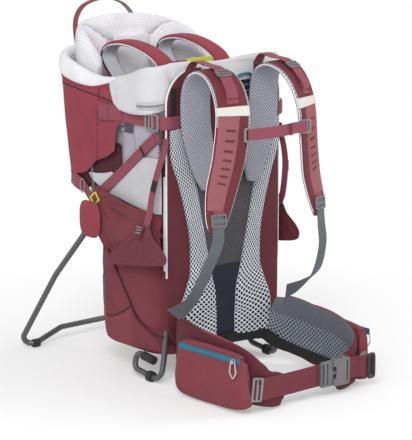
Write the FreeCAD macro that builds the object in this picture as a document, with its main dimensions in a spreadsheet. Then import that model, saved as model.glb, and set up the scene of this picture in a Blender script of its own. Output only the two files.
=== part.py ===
import FreeCAD, Part
import math
import os
import Sketcher
from FreeCAD import Placement, Rotation, Vector

# A child carrier worn on the back: a welded tube frame with a folding kickstand, a padded
# back system with a hip belt, a storage bag below and a child's cockpit above it.
# +Z is up, the wearer's side faces -Y, and the wearer's right is -X. Heights are measured
# from the floor. Depths below are measured from the front of the back board, which lies
# panel_y from the origin, so the origin is at the middle of the carrier's footprint.

sizes = {
    # Where the back board stands
    "panel_y": -70.0,
    # Tube frame
    "tube_diameter": 12,
    "upright_x": 139,
    "upright_y": 11.3,
    "frame_top": 585,
    "frame_corner": 60,
    "rail_x": 166,
    "skid_front": 8,
    "skid_rear": 93,
    "skid_height": 50,
    "skid_bend": 13,
    "sleeve_length": 34,
    "sleeve_wall": 3,
    "skid_foot_length": 12,
    "skid_foot_y": 40,
    # Kickstand
    "hinge_y": 225,
    "hinge_z": 305,
    "boss_diameter": 20,
    "boss_width": 13,
    "pin_diameter": 6,
    "pin_clearance": 0.05,
    "pin_head_diameter": 11,
    "pin_head_thickness": 2,
    "stand_foot_y": 401,
    "stand_foot_x": 186,
    "stand_foot_radius": 9,
    "stand_foot_length": 14,
    "cheek_thickness": 4,
    "cheek_gap": 0.4,
    "bracket_length": 40,
    "socket_depth": 14,
    "flap_thickness": 3,
    "flap_length": 70,
    "flap_height": 76,
    # Back system
    "panel_width": 296,
    "panel_top": 640,
    "panel_bottom": 64,
    "panel_thickness": 5,
    "panel_corner": 70,
    "strip_thickness": 12,
    "mesh_thickness": 2.5,
    "strip_gap": 0.3,
    "lumbar_top": 225,
    "window_top": 440,
    # Storage bag and cockpit
    "bag_half_width": 154,
    "bag_bottom": 48,
    "bag_top": 345,
    "bag_rear": 238,
    "bag_edge": 22,
    "bag_corner": 50,
    "bag_front_corner": 52,
    "shell_half_width": 176,
    "shell_bottom": 376,
    "shell_top": 585,
    "shell_rear": 350,
    "shell_front": 172,
    "shell_wall": 2.5,
    "shell_corner": 64,
    "shell_taper": 6,
    "lining_front": 20,
    "lining_front_top": 546,
    "collar_overhang": 5,
    "collar_wall": 22,
    "lining_wall": 10,
    "lining_gap": 15,
    "hoop_diameter": 8,
    "hoop_slack": 6,
    "headrest_top": 711,
    "headrest_thickness": 20,
    "seat_thickness": 14,
    "seat_travel": 40,
    # Webbing and buckles
    "zip_thickness": 1.2,
    "zip_width": 10,
    "pull_bar": 2,
    "pull_thickness": 1.3,
    "webbing_thickness": 1.6,
    "webbing_width": 25,
    "belt_webbing_width": 40,
    "belt_height": 50,
    "belt_front": 270,
    "buckle_depth": 274.2,
    "buckle_rise": 4.2,
    "buckle_x": 50,
    "lock_frame": 4,
    "lock_thickness": 3,
    "side_strap_height": 537,
    "fit_gap": 0.3,
}

doc = FreeCAD.newDocument("ChildCarrier")
sheet = doc.addObject("Spreadsheet::Sheet", "Sizes")
for row, (name, value) in enumerate(sizes.items(), start=1):
    sheet.set(f"A{row}", name)
    sheet.set(f"B{row}", str(value))
    sheet.setAlias(f"B{row}", name)
doc.recompute()

nodes = []
along_x = Vector(1, 0, 0)
along_y = Vector(0, 1, 0)
along_z = Vector(0, 0, 1)


def size(name):
    return float(sheet.get(name))


# ---------------------------------------------------------------- shared helpers

def bind(obj, **expressions):
    """Ties properties to sheet expressions; a double underscore stands for a dot."""
    for name, expression in expressions.items():
        obj.setExpression(name.replace("__", "."), expression)


def node(obj, label, seated=True):
    """Names a finished sub-part and moves it from board depths to the part's frame."""
    obj.Label = label
    if seated:
        bind(obj, Placement__Base__y="Sizes.panel_y")
    nodes.append(obj)
    return obj


def solid(name, shape):
    feature = doc.addObject("Part::Feature", name)
    feature.Shape = shape
    return feature


def both_sides(name, source):
    """The source and its mirror image across the carrier's middle, as one group."""
    mirrored = doc.addObject("Part::Mirroring", name + "_other_side")
    mirrored.Source = source
    mirrored.Normal = (1, 0, 0)
    pair = doc.addObject("Part::Compound", name)
    pair.Links = [source, mirrored]
    return pair


def alone(name, source):
    """A group of one, so that the source keeps the depth it was placed at."""
    group = doc.addObject("Part::Compound", name)
    group.Links = [source]
    return group


def other_side(name, source):
    mirrored = doc.addObject("Part::Mirroring", name)
    mirrored.Source = source
    mirrored.Normal = (1, 0, 0)
    return mirrored


def minus(name, base, tool):
    cut = doc.addObject("Part::Cut", name)
    cut.Base = base
    cut.Tool = tool
    return cut


def union(name, *members):
    fuse = doc.addObject("Part::MultiFuse", name)
    fuse.Shapes = list(members)
    return fuse


def bent_wire(points, radii):
    """Straight runs through the points, joined by tangent arcs of the given radii."""
    edges = []
    start = points[0]
    for before, corner, after, radius in zip(points, points[1:], points[2:], radii):
        back = (before - corner).normalize()
        onward = (after - corner).normalize()
        half_angle = back.getAngle(onward) / 2
        reach = radius / math.tan(half_angle)
        centre = corner + (back + onward).normalize() * (radius / math.sin(half_angle))
        middle = centre + (corner - centre).normalize() * radius
        arc_start = corner + back * reach
        arc_end = corner + onward * reach
        edges.append(Part.LineSegment(start, arc_start).toShape())
        edges.append(Part.Arc(arc_start, middle, arc_end).toShape())
        start = arc_end
    edges.append(Part.LineSegment(start, points[-1]).toShape())
    return Part.Wire(edges)


def rounded_polygon(points, radius):
    """A closed wire through the points with every corner rounded."""
    start = (points[-1] + points[0]) / 2
    return bent_wire([start] + points + [start], [radius] * len(points))


def tube(name, points, radii, diameter):
    """A round rod along straight runs and tangent arcs; diameter is a sheet name."""
    path = bent_wire(points, radii)
    ring = Part.makeCircle(size(diameter) / 2, points[0], points[1] - points[0])
    return solid(name, path.makePipe(Part.Face(Part.Wire(ring))))


def rod(name, diameter, length, at, axis=Vector(1, 0, 0)):
    """A cylinder centred on a point, with its diameter and length as expressions."""
    cylinder = doc.addObject("Part::Cylinder", name)
    bind(cylinder, Radius=f"({diameter}) / 2", Height=length)
    turn = Rotation(Vector(0, 0, 1), axis)
    doc.recompute()
    shift = turn.multVec(Vector(0, 0, -cylinder.Height.Value / 2))
    cylinder.Placement = Placement(at + shift, turn)
    return cylinder


def mirror_points(points):
    return [Vector(-p.x, p.y, p.z) for p in reversed(points)]


def curve_through(points):
    """A smooth curve through the points, and its parameter at each of them."""
    marks = [0.0]
    for before, after in zip(points, points[1:]):
        marks.append(marks[-1] + (after - before).Length)
    curve = Part.BSplineCurve()
    curve.interpolate(Points=points, Parameters=marks)
    return curve, marks


def ribbon(stations, thickness, reference=along_x, steps=1):
    """A strip of even thickness through (point, width) stations.

    Its width lies along the reference, or along a direction of its own that a station
    gives as a third value. With more steps than one the strip bends smoothly.
    """
    curve, marks = curve_through([station[0] for station in stations])
    centres = []
    widths = []
    acrosses = []
    for index in range((len(stations) - 1) * steps + 1):
        span = min(index // steps, len(stations) - 2)
        share = index / steps - span
        first, second = stations[span], stations[span + 1]
        centres.append(curve.value(marks[span] + (marks[span + 1] - marks[span]) * share))
        widths.append(first[1] * (1 - share) + second[1] * share)
        start = first[2] if len(first) > 2 else reference
        end = second[2] if len(second) > 2 else reference
        acrosses.append((start * (1 - share) + end * share).normalize())
    chords = [(after - before).normalize() for before, after in zip(centres, centres[1:])]
    headings = [chords[0]] + [(a + b).normalize() for a, b in zip(chords, chords[1:])] + [chords[-1]]
    sections = []
    for centre, width, across, heading in zip(centres, widths, acrosses, headings):
        side = across * (width / 2)
        lift = across.cross(heading).normalize() * (thickness / 2)
        corners = [centre - side - lift, centre + side - lift, centre + side + lift, centre - side + lift]
        sections.append(Part.makePolygon(corners + corners[:1]))
    return Part.makeLoft(sections, True, True)


def rounded_ring(half_width, front, rear, radius, height, front_radius=0.0):
    """A closed wire at one height: a rectangle in plan with round corners."""
    corners = [Vector(half_width, front, height), Vector(half_width, rear, height),
               Vector(-half_width, rear, height), Vector(-half_width, front, height)]
    if front_radius:
        middle = Vector(0, front, height)
        return bent_wire([middle] + corners + [middle], [front_radius, radius, radius, front_radius])
    wire = bent_wire(corners, [radius, radius])
    closing = Part.LineSegment(corners[-1], corners[0]).toShape()
    return Part.Wire(wire.Edges + [closing])


def plan_loft(rings):
    return Part.makeLoft([rounded_ring(*ring) for ring in rings], True, True)


# ---------------------------------------------------------------- sketch helpers

def origin_plane(body, role):
    return next(item for item in body.Origin.OriginFeatures if item.Role == role)


def new_sketch(body, name, role):
    sketch = body.newObject("Sketcher::SketchObject", name)
    sketch.AttachmentSupport = [(origin_plane(body, role), "")]
    sketch.MapMode = "FlatFace"
    return sketch


def rectangle(sketch, width, height, x="0", y="0"):
    """A rectangle whose size and centre follow the expressions."""
    first = sketch.GeometryCount
    corners = [Vector(-5, -5, 0), Vector(5, -5, 0), Vector(5, 5, 0), Vector(-5, 5, 0)]
    for index, corner in enumerate(corners):
        sketch.addGeometry(Part.LineSegment(corner, corners[(index + 1) % 4]))
    for index in range(4):
        follower = first + (index + 1) % 4
        sketch.addConstraint(Sketcher.Constraint("Coincident", first + index, 2, follower, 1))
        level = "Horizontal" if index % 2 == 0 else "Vertical"
        sketch.addConstraint(Sketcher.Constraint(level, first + index))
    bound = [
        (Sketcher.Constraint("DistanceX", first, 1, first, 2, 10.0), width),
        (Sketcher.Constraint("DistanceY", first + 1, 1, first + 1, 2, 10.0), height),
        (Sketcher.Constraint("DistanceX", -1, 1, first, 1, -5.0), f"({x}) - ({width}) / 2"),
        (Sketcher.Constraint("DistanceY", -1, 1, first, 1, -5.0), f"({y}) - ({height}) / 2"),
    ]
    for constraint, expression in bound:
        index = sketch.addConstraint(constraint)
        sketch.setExpression(f"Constraints[{index}]", expression)


def circle(sketch, diameter, x="0", y="0"):
    index = sketch.addGeometry(Part.Circle(Vector(1, 1, 0), Vector(0, 0, 1), 3))
    bound = [
        (Sketcher.Constraint("Diameter", index, 6.0), diameter),
        (Sketcher.Constraint("DistanceX", -1, 1, index, 3, 1.0), x),
        (Sketcher.Constraint("DistanceY", -1, 1, index, 3, 1.0), y),
    ]
    for constraint, expression in bound:
        number = sketch.addConstraint(constraint)
        sketch.setExpression(f"Constraints[{number}]", expression)


def pad(body, sketch, length, midplane=True):
    feature = body.newObject("PartDesign::Pad", sketch.Name + "_pad")
    feature.Profile = sketch
    feature.Midplane = midplane
    bind(feature, Length=length)
    return feature


def pocket(body, sketch, length, midplane=True):
    feature = body.newObject("PartDesign::Pocket", sketch.Name + "_pocket")
    feature.Profile = sketch
    feature.Midplane = midplane
    bind(feature, Length=length)
    return feature


def edges_along(shape, axis, tolerance=1e-6):
    """Names of the straight edges that run along an axis."""
    names = []
    for number, edge in enumerate(shape.Edges, start=1):
        if isinstance(edge.Curve, Part.Line):
            if abs(abs(edge.Curve.Direction.dot(axis)) - 1) < tolerance:
                names.append(f"Edge{number}")
    return names


def fillet(body, base, axis, radius):
    """Rounds every straight edge of the base feature that runs along the axis."""
    doc.recompute()
    feature = body.newObject("PartDesign::Fillet", base.Name + "_round")
    feature.Base = (base, edges_along(base.Shape, axis))
    bind(feature, Radius=radius)
    return feature


# ---------------------------------------------------------------- tube frame

def frame_points():
    """One side of the frame tube, from the skid's free end up to the top corner."""
    upright_x = size("upright_x")
    front = size("skid_front")
    rear = size("skid_rear")
    radius = size("tube_diameter") / 2
    outboard = upright_x + 18
    return [
        Vector(upright_x + 11, front + 34, size("skid_height") - 7),
        Vector(upright_x + 13, rear, size("skid_height")),
        Vector(outboard, rear + 2, radius + 11),
        Vector(outboard + 1, front, radius + 1.5),
        Vector(upright_x + 8, front + 3, size("skid_height") + 2),
        Vector(upright_x, size("upright_y"), 118),
        Vector(upright_x, size("upright_y"), size("frame_top")),
    ]


def make_frame():
    bend = size("skid_bend")
    side = frame_points()
    radii = [bend, bend, 20, 40, 60, size("frame_corner")]
    hoop = tube("hoop", side + mirror_points(side), radii + radii[::-1], "tube_diameter")
    upright = side[-1]
    rail_points = [
        Vector(upright.x, upright.y, size("hinge_z")),
        Vector(size("rail_x"), upright.y + 50, size("hinge_z")),
        Vector(size("rail_x"), bracket_front() + size("socket_depth"), size("hinge_z")),
    ]
    rail = tube("rail", rail_points, [40], "tube_diameter")
    frame = union("main_frame_weld", hoop, both_sides("rails", rail))
    return node(frame, "main_frame"), hoop


def bracket_front():
    """Depth of the hinge bracket's front face."""
    return size("hinge_y") + size("boss_diameter") / 2 + 2 - size("bracket_length")


def make_frame_ends(hoop):
    end, bend_point = frame_points()[:2]
    heading = (bend_point - end).normalize()
    cap = 3
    length = size("sleeve_length")
    sleeve = rod("sleeve_blank", "Sizes.tube_diameter + 2 * Sizes.sleeve_wall", f"{length}",
                 end + heading * (length / 2 - cap), heading)
    shell = minus("sleeve", sleeve, hoop)
    node(both_sides("sleeves", shell), "frame_sleeves")


def make_skid_feet(hoop):
    rear, front = frame_points()[2:4]
    share = (size("skid_foot_y") - front.y) / (rear.y - front.y)
    centre = front + (rear - front) * share
    foot = rod("skid_foot_blank", f"{2 * centre.z}", "Sizes.skid_foot_length", centre, along_y)
    node(both_sides("skid_foot_pair", minus("skid_foot", foot, hoop)), "skid_feet")


# ---------------------------------------------------------------- kickstand and its hinge

def stand_points():
    foot_x = size("stand_foot_x")
    foot_y = size("stand_foot_y")
    radius = size("stand_foot_radius")
    hinge = Vector(size("rail_x"), size("hinge_y"), size("hinge_z"))
    return [
        hinge,
        hinge + Vector(0, 30, -38),
        hinge + Vector(17, 105, -133),
        Vector(foot_x + 26, foot_y + 23, radius - 1),
        Vector(foot_x, foot_y, radius),
        Vector(foot_x - 71, foot_y + 5, radius + 22),
    ]


def make_kickstand():
    side = stand_points()
    radii = [60, 120, 15, 20, 30]
    points = side + mirror_points(side)
    stand = tube("stand", points, radii + radii[::-1], "tube_diameter")
    hinge = side[0]
    boss = rod("boss", "Sizes.boss_diameter", "Sizes.boss_width", hinge)
    bore = rod("boss_bore", "Sizes.pin_diameter + 2 * Sizes.pin_clearance",
               "3 * Sizes.boss_width", hinge)
    bosses = both_sides("bosses", boss)
    blank = union("stand_blank", stand, bosses)
    node(minus("stand_bored", blank, both_sides("boss_bores", bore)), "kickstand")
    foot_point = side[4]
    foot = rod("stand_foot_blank", "2 * Sizes.stand_foot_radius", "Sizes.stand_foot_length",
               foot_point)
    node(both_sides("stand_foot_pair", minus("stand_foot", foot, stand)), "kickstand_feet")


def make_brackets():
    """Moulded clevises: a socket for the rail in front, two cheeks round the boss behind."""
    body = doc.addObject("PartDesign::Body", "bracket")
    outline = new_sketch(body, "bracket_outline", "YZ_Plane")
    rectangle(outline, "Sizes.bracket_length", "Sizes.boss_diameter + 4")
    block = pad(body, outline, "Sizes.boss_width + 2 * (Sizes.cheek_thickness + Sizes.cheek_gap)")
    fillet(body, block, along_x, "(Sizes.boss_diameter + 4) / 2 - 0.5")
    slot = new_sketch(body, "bracket_slot", "XY_Plane")
    rectangle(slot, "Sizes.boss_width + 2 * Sizes.cheek_gap",
              "Sizes.bracket_length - Sizes.socket_depth - 2",
              "0", "(Sizes.socket_depth + 2) / 2 + 1")
    pocket(body, slot, "2 * Sizes.boss_diameter")
    socket = new_sketch(body, "bracket_socket", "XZ_Plane")
    bind(socket, AttachmentOffset__Base__z="Sizes.bracket_length / 2 - Sizes.socket_depth")
    circle(socket, "Sizes.tube_diameter + 2 * Sizes.pin_clearance")
    hole = pocket(body, socket, "Sizes.socket_depth + 1", midplane=False)
    hole.Reversed = True
    pin_hole = new_sketch(body, "bracket_pin_hole", "YZ_Plane")
    circle(pin_hole, "Sizes.pin_diameter", "Sizes.bracket_length / 2 - Sizes.boss_diameter / 2 - 2")
    pocket(body, pin_hole, "3 * Sizes.boss_width")
    bind(body, Placement__Base__x="Sizes.rail_x", Placement__Base__z="Sizes.hinge_z",
         Placement__Base__y="Sizes.hinge_y + Sizes.boss_diameter / 2 + 2 - Sizes.bracket_length / 2")
    node(both_sides("bracket_pair", body), "hinge_brackets")


def make_pins():
    hinge = stand_points()[0]
    half = size("boss_width") / 2 + size("cheek_gap") + size("cheek_thickness")
    shank = rod("pin_shank", "Sizes.pin_diameter", f"{2 * half}", hinge)
    head_place = hinge + Vector(half + size("pin_head_thickness") / 2, 0, 0)
    head = rod("pin_head", "Sizes.pin_head_diameter", "Sizes.pin_head_thickness", head_place)
    node(both_sides("pin_pair", union("pin", shank, head)), "hinge_pins")


# ---------------------------------------------------------------- back system

def smooth_edge(points):
    curve = Part.BSplineCurve()
    curve.interpolate(points)
    return curve.toShape()


def sheet_between(outer, inner, back, thickness):
    """A sheet in front of depth back, between two smooth edges given as (x, z) points."""
    first = [Vector(x, back, z) for x, z in outer]
    second = [Vector(x, back, z) for x, z in reversed(inner)]
    edges = [
        smooth_edge(first),
        Part.LineSegment(first[-1], second[0]).toShape(),
        smooth_edge(second),
        Part.LineSegment(second[-1], first[0]).toShape(),
    ]
    return Part.Face(Part.Wire(edges)).extrude(Vector(0, -thickness, 0))


# Half of the back's centre window: (x, z) from the belt up to the shoulders.
strip_inner = [
    (24, 84), (24, 130), (27, 178), (40, 225), (50, 270), (64, 336), (80, 410), (103, 470), (112, 524),
]
strip_outer = [
    (110, 84), (104, 130), (95, 178), (89, 225), (93, 290), (104, 350), (122, 415), (141, 468), (143, 524),
]


def make_back_board():
    """A stiff sheet with round corners that carries the pads in front of the frame."""
    body = doc.addObject("PartDesign::Body", "board")
    outline = new_sketch(body, "board_outline", "XZ_Plane")
    rectangle(outline, "Sizes.panel_width", "Sizes.panel_top - Sizes.panel_bottom",
              "0", "(Sizes.panel_top + Sizes.panel_bottom) / 2")
    block = pad(body, outline, "Sizes.panel_thickness", midplane=False)
    block.Reversed = True
    fillet(body, block, along_y, "Sizes.panel_corner")
    return node(body, "back_board")


def make_back_meshes():
    """Two spacer-mesh pads, and the thinner cloths of the window between them."""
    gap = size("strip_gap")
    spacer = sheet_between(strip_outer, strip_inner, -gap, size("strip_thickness"))
    node(both_sides("strip_pair", solid("strip", spacer)), "mesh_strips")
    edge = [(x - gap, z) for x, z in strip_inner]
    mirrored = [(-x, z) for x, z in edge]
    cloth = sheet_between(edge, mirrored, -gap, size("mesh_thickness"))
    low, join, high = strip_inner[0][1], size("lumbar_top"), size("window_top")
    width = size("panel_width")
    for label, bottom, top in (("lumbar_panel", low, join - gap), ("centre_mesh", join, high)):
        block = Part.makeBox(width, width, top - bottom, Vector(-width / 2, -width / 2, bottom))
        node(solid(label + "_cloth", cloth.common(block)), label)


# Middle line of the right hip wing: (x, y, lower edge, upper edge), from root to tip.
wing_line = [
    (118.5, -4.2, 60, 146), (135, -27, 32, 148), (146, -62, 24, 146), (150, -110, 20, 140),
    (150, -165, 22, 136), (143, -215, 30, 126), (134, -244, 38, 104), (122, -258, 44, 86),
    (106, -262, 50, 74),
]
wing_thickness = 12


def make_wings():
    stations = [(Vector(x, y, (low + high) / 2), high - low) for x, y, low, high in wing_line]
    left = node(solid("wing", ribbon(stations, wing_thickness, along_z, steps=2)), "hip_wing_left")
    node(other_side("wing_mirrored", left), "hip_wing_right", seated=False)


def pouch_loft(sections):
    """A soft pouch through upright sections (y, inner x, outer x, lower z, upper z)."""
    wires = []
    for y, inner, outer, low, high in sections:
        corners = [Vector(x, y, z) for x, z in ((inner, low), (outer, low), (outer, high), (inner, high))]
        wires.append(Part.makePolygon(corners + corners[:1]))
    return Part.makeLoft(wires, True, True)


pocket_sections = [
    (-52, 154.4, 164, 34, 112), (-75, 157.4, 182, 16, 118), (-115, 157.1, 179.7, 5, 121),
    (-170, 157.1, 176.6, 4, 122),
    (-225, 152.1, 173.4, 12, 118), (-250, 145.1, 172, 28, 112), (-262, 141.1, 160, 44, 104),
]
# The zip follows the pouch's flat outer face, which slants inward towards the front.
zip_height = 108
zip_rear = -80
zip_front = -247


def zip_point(y, out=0.0):
    """A point on the line of the pocket's zip, a given way out from the pouch."""
    front = pocket_sections[5]
    rear = pocket_sections[1]
    share = (y - front[0]) / (rear[0] - front[0])
    return Vector(front[2] + (rear[2] - front[2]) * share + out, y, zip_height)


def zip_heading():
    return (zip_point(zip_rear) - zip_point(zip_front)).normalize()


def make_pockets():
    pouch = node(solid("pouch", pouch_loft(pocket_sections)), "hip_pocket_left")
    node(other_side("pouch_mirrored", pouch), "hip_pocket_right", seated=False)
    thickness = size("zip_thickness")
    middle = thickness / 2 + size("fit_gap")
    ends = [(zip_point(y, middle), size("zip_width")) for y in (zip_front, zip_rear)]
    tape = ribbon(ends, thickness, along_z)
    node(both_sides("zip_pair", solid("zip_tape", tape)), "pocket_zips")


def make_zip_sliders():
    """Die-cast sliders whose bridge holds a drop-shaped pull."""
    body = doc.addObject("PartDesign::Body", "slider")
    plate = new_sketch(body, "slider_plate", "YZ_Plane")
    rectangle(plate, "13", "9")
    base = pad(body, plate, "3")
    fillet(body, base, along_x, "3")
    bridge = new_sketch(body, "slider_bridge", "YZ_Plane")
    rectangle(bridge, "6", "7")
    pad(body, bridge, "7.6", midplane=False)
    hole = new_sketch(body, "slider_eye", "XZ_Plane")
    rectangle(hole, "2.8", "4", "4.4")
    pocket(body, hole, "12")
    inset = 7
    face = size("fit_gap") + size("zip_thickness") + 1.5 + size("fit_gap")
    seat = zip_point(zip_front + inset, face)
    turn = Rotation(along_y, zip_heading())
    body.Placement = Placement(seat, turn)
    slider = node(alone("slider_seat", body), "zip_slider_left")
    node(other_side("slider_mirrored", slider), "zip_slider_right", seated=False)
    # A flat drop hangs from the bridge, with one side of its ring through the eye.
    eye = seat + turn.multVec(Vector(4.4, 0, 0))
    way = zip_heading()
    half = size("pull_bar") / 2
    outside = [(-5.6, half), (5.6, half), (10.1, -22), (2, -34), (-2, -34), (-10.1, -22)]
    inside = [(-4, -half), (4, -half), (7.6, -21.6), (1.4, -31.6), (-1.4, -31.6), (-7.6, -21.6)]
    rings = []
    for outline in (outside, inside):
        corners = [eye + way * across + along_z * drop for across, drop in outline]
        rings.append(Part.Face(Part.makePolygon(corners + corners[:1])))
    flat = turn.multVec(Vector(1, 0, 0)) * size("pull_thickness")
    drop = rings[0].cut(rings[1]).translated(flat * -0.5).extrude(flat)
    pull = node(solid("pull", drop), "zip_pull_left")
    node(other_side("pull_mirrored", pull), "zip_pull_right", seated=False)


socket_length = 44
plug_bar = 25
plug_lap = 12
tail_leaves = 118


def belt_slant():
    """Where the left belt webbing leaves the wing's tip, and where it turns to the front."""
    front = -size("belt_front")
    height = size("belt_height")
    return Vector(151, front + 6.9, height + 2), Vector(131, front, height)


def make_belt_webbing():
    """Belt webbing from each wing's tip to the buckle, and the loose end on the left."""
    front = -size("belt_front")
    at_buckle = -(size("buckle_depth") - size("buckle_rise"))
    height = size("belt_height")
    width = size("belt_webbing_width")
    thickness = size("webbing_thickness")
    buckle_x = size("buckle_x")
    tip, corner = belt_slant()
    socket_end = Vector(buckle_x + socket_length + size("fit_gap"), at_buckle, height)
    plug_end = Vector(buckle_x - plug_bar, at_buckle, height)
    left = [tip, corner, socket_end]
    right = [Vector(-tip.x, tip.y, tip.z), Vector(-corner.x, corner.y, corner.z),
             plug_end - along_x * plug_lap, plug_end]
    # The loose end lies on the webbing beside the socket, then swings clear of the triglide.
    run = socket_end - corner
    layer = along_z.cross(run).normalize() * (thickness + size("fit_gap"))
    leaves = (tail_leaves - corner.x) / run.x
    tail = [socket_end + layer, corner + run * leaves + layer,
            Vector(129, front - 6.2, height - 1), Vector(160, front - 6.2, height - 3)]
    straps = [ribbon([(point, width) for point in run], thickness, along_z) for run in (left, right)]
    straps.append(ribbon([(point, width - 2) for point in tail], thickness, along_z))
    node(solid("belt_straps", Part.makeCompound(straps)), "belt_webbing")


def lock_body(name, width, length, thickness, bars=3):
    """A flat adjuster in its own XZ plane: webbing width along X, run along Z."""
    body = doc.addObject("PartDesign::Body", name)
    outline = new_sketch(body, name + "_outline", "XZ_Plane")
    rectangle(outline, f"{width} + 2 * Sizes.lock_frame", length)
    plate = pad(body, outline, thickness)
    fillet(body, plate, along_y, "3")
    gaps = bars - 1
    window = f"(({length}) - {bars} * Sizes.lock_frame) / {gaps}"
    for number in range(gaps):
        place = f"-({length}) / 2 + Sizes.lock_frame * {number + 1} + ({window}) * {number + 0.5}"
        slot = new_sketch(body, f"{name}_slot_{number}", "XZ_Plane")
        rectangle(slot, f"{width} + 1", window, "0", place)
        pocket(body, slot, f"3 * ({thickness})")
    return body


def turned(body, at, x_axis, z_axis):
    """Stands a lock with its own X and Z along the given directions."""
    y_axis = z_axis.cross(x_axis)
    body.Placement = Placement(at, Rotation(x_axis, y_axis, z_axis, "ZXY"))
    return body


def make_triglides():
    """Frames at the wings' tips that hold the belt webbing to its length."""
    lock = lock_body("triglide", "Sizes.belt_webbing_width", "22", "Sizes.lock_thickness")
    tip, corner = belt_slant()
    heading = (tip - corner).normalize()
    lift = (size("webbing_thickness") + size("lock_thickness")) / 2 + size("fit_gap")
    place = (tip + corner) / 2 + heading.cross(along_z) * lift
    turned(lock, place, along_z * -1, heading)
    node(both_sides("triglide_pair", lock), "belt_triglides")


# ---------------------------------------------------------------- belt buckle


def make_socket(front):
    """The buckle's socket: a flat box with side windows and a webbing bar."""
    body = doc.addObject("PartDesign::Body", "socket")
    outline = new_sketch(body, "socket_outline", "XZ_Plane")
    rectangle(outline, f"{socket_length}", "56")
    block = pad(body, outline, "12")
    fillet(body, block, along_y, "7")
    cavity = new_sketch(body, "socket_cavity", "XZ_Plane")
    rectangle(cavity, "32", "45", "-8")
    pocket(body, cavity, "5.8")
    window = new_sketch(body, "socket_windows", "XZ_Plane")
    rectangle(window, "14", "70", "-5")
    pocket(body, window, "5.8")
    cut = new_sketch(body, "socket_waist", "XZ_Plane")
    rectangle(cut, "10", "26", "-19")
    pocket(body, cut, "40")
    slot = new_sketch(body, "socket_slot", "XZ_Plane")
    rectangle(slot, "4", "43", "15")
    pocket(body, slot, "40")
    middle = Vector(size("buckle_x") + socket_length / 2, front, size("belt_height"))
    body.Placement = Placement(middle, Rotation())
    node(alone("socket_seat", body), "buckle_socket")


def make_plug(front):
    body = doc.addObject("PartDesign::Body", "plug")
    outline = new_sketch(body, "plug_outline", "XZ_Plane")
    rectangle(outline, "30", "52", "-15.4")
    block = pad(body, outline, "6")
    fillet(body, block, along_y, "4")
    tongue = new_sketch(body, "plug_tongue", "XZ_Plane")
    rectangle(tongue, "30", "7", "13")
    pad(body, tongue, "5")
    for number, place in enumerate(("-25", "-14")):
        slot = new_sketch(body, f"plug_slot_{number}", "XZ_Plane")
        rectangle(slot, "5", "43", place)
        pocket(body, slot, "40")
    body.Placement = Placement(Vector(size("buckle_x"), front, size("belt_height")), Rotation())
    node(alone("plug_seat", body), "buckle_plug")


def make_prongs(front):
    """Sprung arms of the plug: each ends in a barb that shows in the socket's window."""
    arm = [(0.3, 11), (0.3, 18), (10, 18), (11, 26), (15, 28.5), (21, 24), (24, 18), (22, 14), (13, 13)]
    points = [Vector(x, -2.5, z) for x, z in arm]
    face = Part.Face(Part.makePolygon(points + points[:1]))
    upper = solid("prong", face.extrude(Vector(0, 5, 0)))
    shift = Vector(size("buckle_x"), size("panel_y") + front, size("belt_height"))
    upper.Placement = Placement(shift, Rotation())
    node(upper, "buckle_prong_upper", seated=False)
    flipped = doc.addObject("Part::Mirroring", "prong_lower")
    flipped.Source = upper
    flipped.Normal = (0, 0, 1)
    flipped.Base = (0, 0, size("belt_height"))
    node(flipped, "buckle_prong_lower", seated=False)


# ---------------------------------------------------------------- shoulder harness

# Middle line of the left shoulder pad as (x, y, z, width): up the back, over, and down.
pad_line = [
    (60, -20, 398, 26), (66, -20.5, 430, 54), (78, -20.5, 480, 68), (88, -20.5, 530, 74), (90, -21, 588, 74),
    (89, -32, 624, 72), (88, -62, 641, 70), (90, -100, 632, 70), (93, -128, 602, 70), (97, -142, 556, 70),
    (106, -140, 480, 68), (119, -134, 420, 64), (132, -136, 368, 50), (137, -137, 338, 28),
]
# The front limb's face turns outward, round the wearer's chest, from the apex down.
pad_twist = [0, 0, 0, 0, 0, 0, 5, 12, 17, 20, 20, 18, 14, 12]
pad_thickness = 13


def pad_stations(first=0, last=None, lift=0.0, width=None):
    """Stations of the pad, moved outward from its middle line by the lift."""
    points = [Vector(x, y, z) for x, y, z, pad_width in pad_line]
    chosen = []
    for index in range(first, len(points) if last is None else last):
        before = points[max(index - 1, 0)]
        after = points[min(index + 1, len(points) - 1)]
        across = Rotation(along_z, pad_twist[index]).multVec(along_x)
        outward = (after - before).cross(across).normalize()
        chosen.append((points[index] + outward * lift, width or pad_line[index][3], across))
    return chosen


def make_shoulder_pads():
    left = node(solid("pad_left", ribbon(pad_stations(), pad_thickness, steps=2)), "shoulder_pad_left")
    node(other_side("pad_right", left), "shoulder_pad_right", seated=False)


def make_load_lifters():
    """Webbing from the back board over the top of each pad, with its adjuster."""
    thickness = size("webbing_thickness")
    lift = pad_thickness / 2 + 5
    over = pad_stations(6, 9, lift, 24)
    board_face = -thickness / 2 - size("fit_gap")
    tail = [(Vector(90, board_face, 612), 24), (Vector(90, -3, 636), 24), (Vector(89, -24, 656), 24)]
    strap = ribbon(tail + over, thickness)
    node(both_sides("lifter_pair", solid("lifter", strap)), "load_lifters")
    lock = lock_body("lifter_lock", "24", "18", "2.4")
    place, width, across = pad_stations(7, 8, lift + 2.35)[0]
    heading = Vector(*pad_line[8][:3]) - Vector(*pad_line[6][:3])
    turned(lock, place, across, (heading - across * across.dot(heading)).normalize() * -1)
    node(both_sides("lifter_lock_pair", lock), "lifter_buckles")


def limb_frame(index):
    """The pad's middle, its width direction, its run upward and its outward normal."""
    middle, width, across = pad_stations(index, index + 1)[0]
    upward = Vector(*pad_line[index - 1][:3]) - Vector(*pad_line[index + 1][:3])
    upward = (upward - across * across.dot(upward)).normalize()
    outward = across.cross(upward).normalize()
    return middle, across, upward, outward


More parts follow.
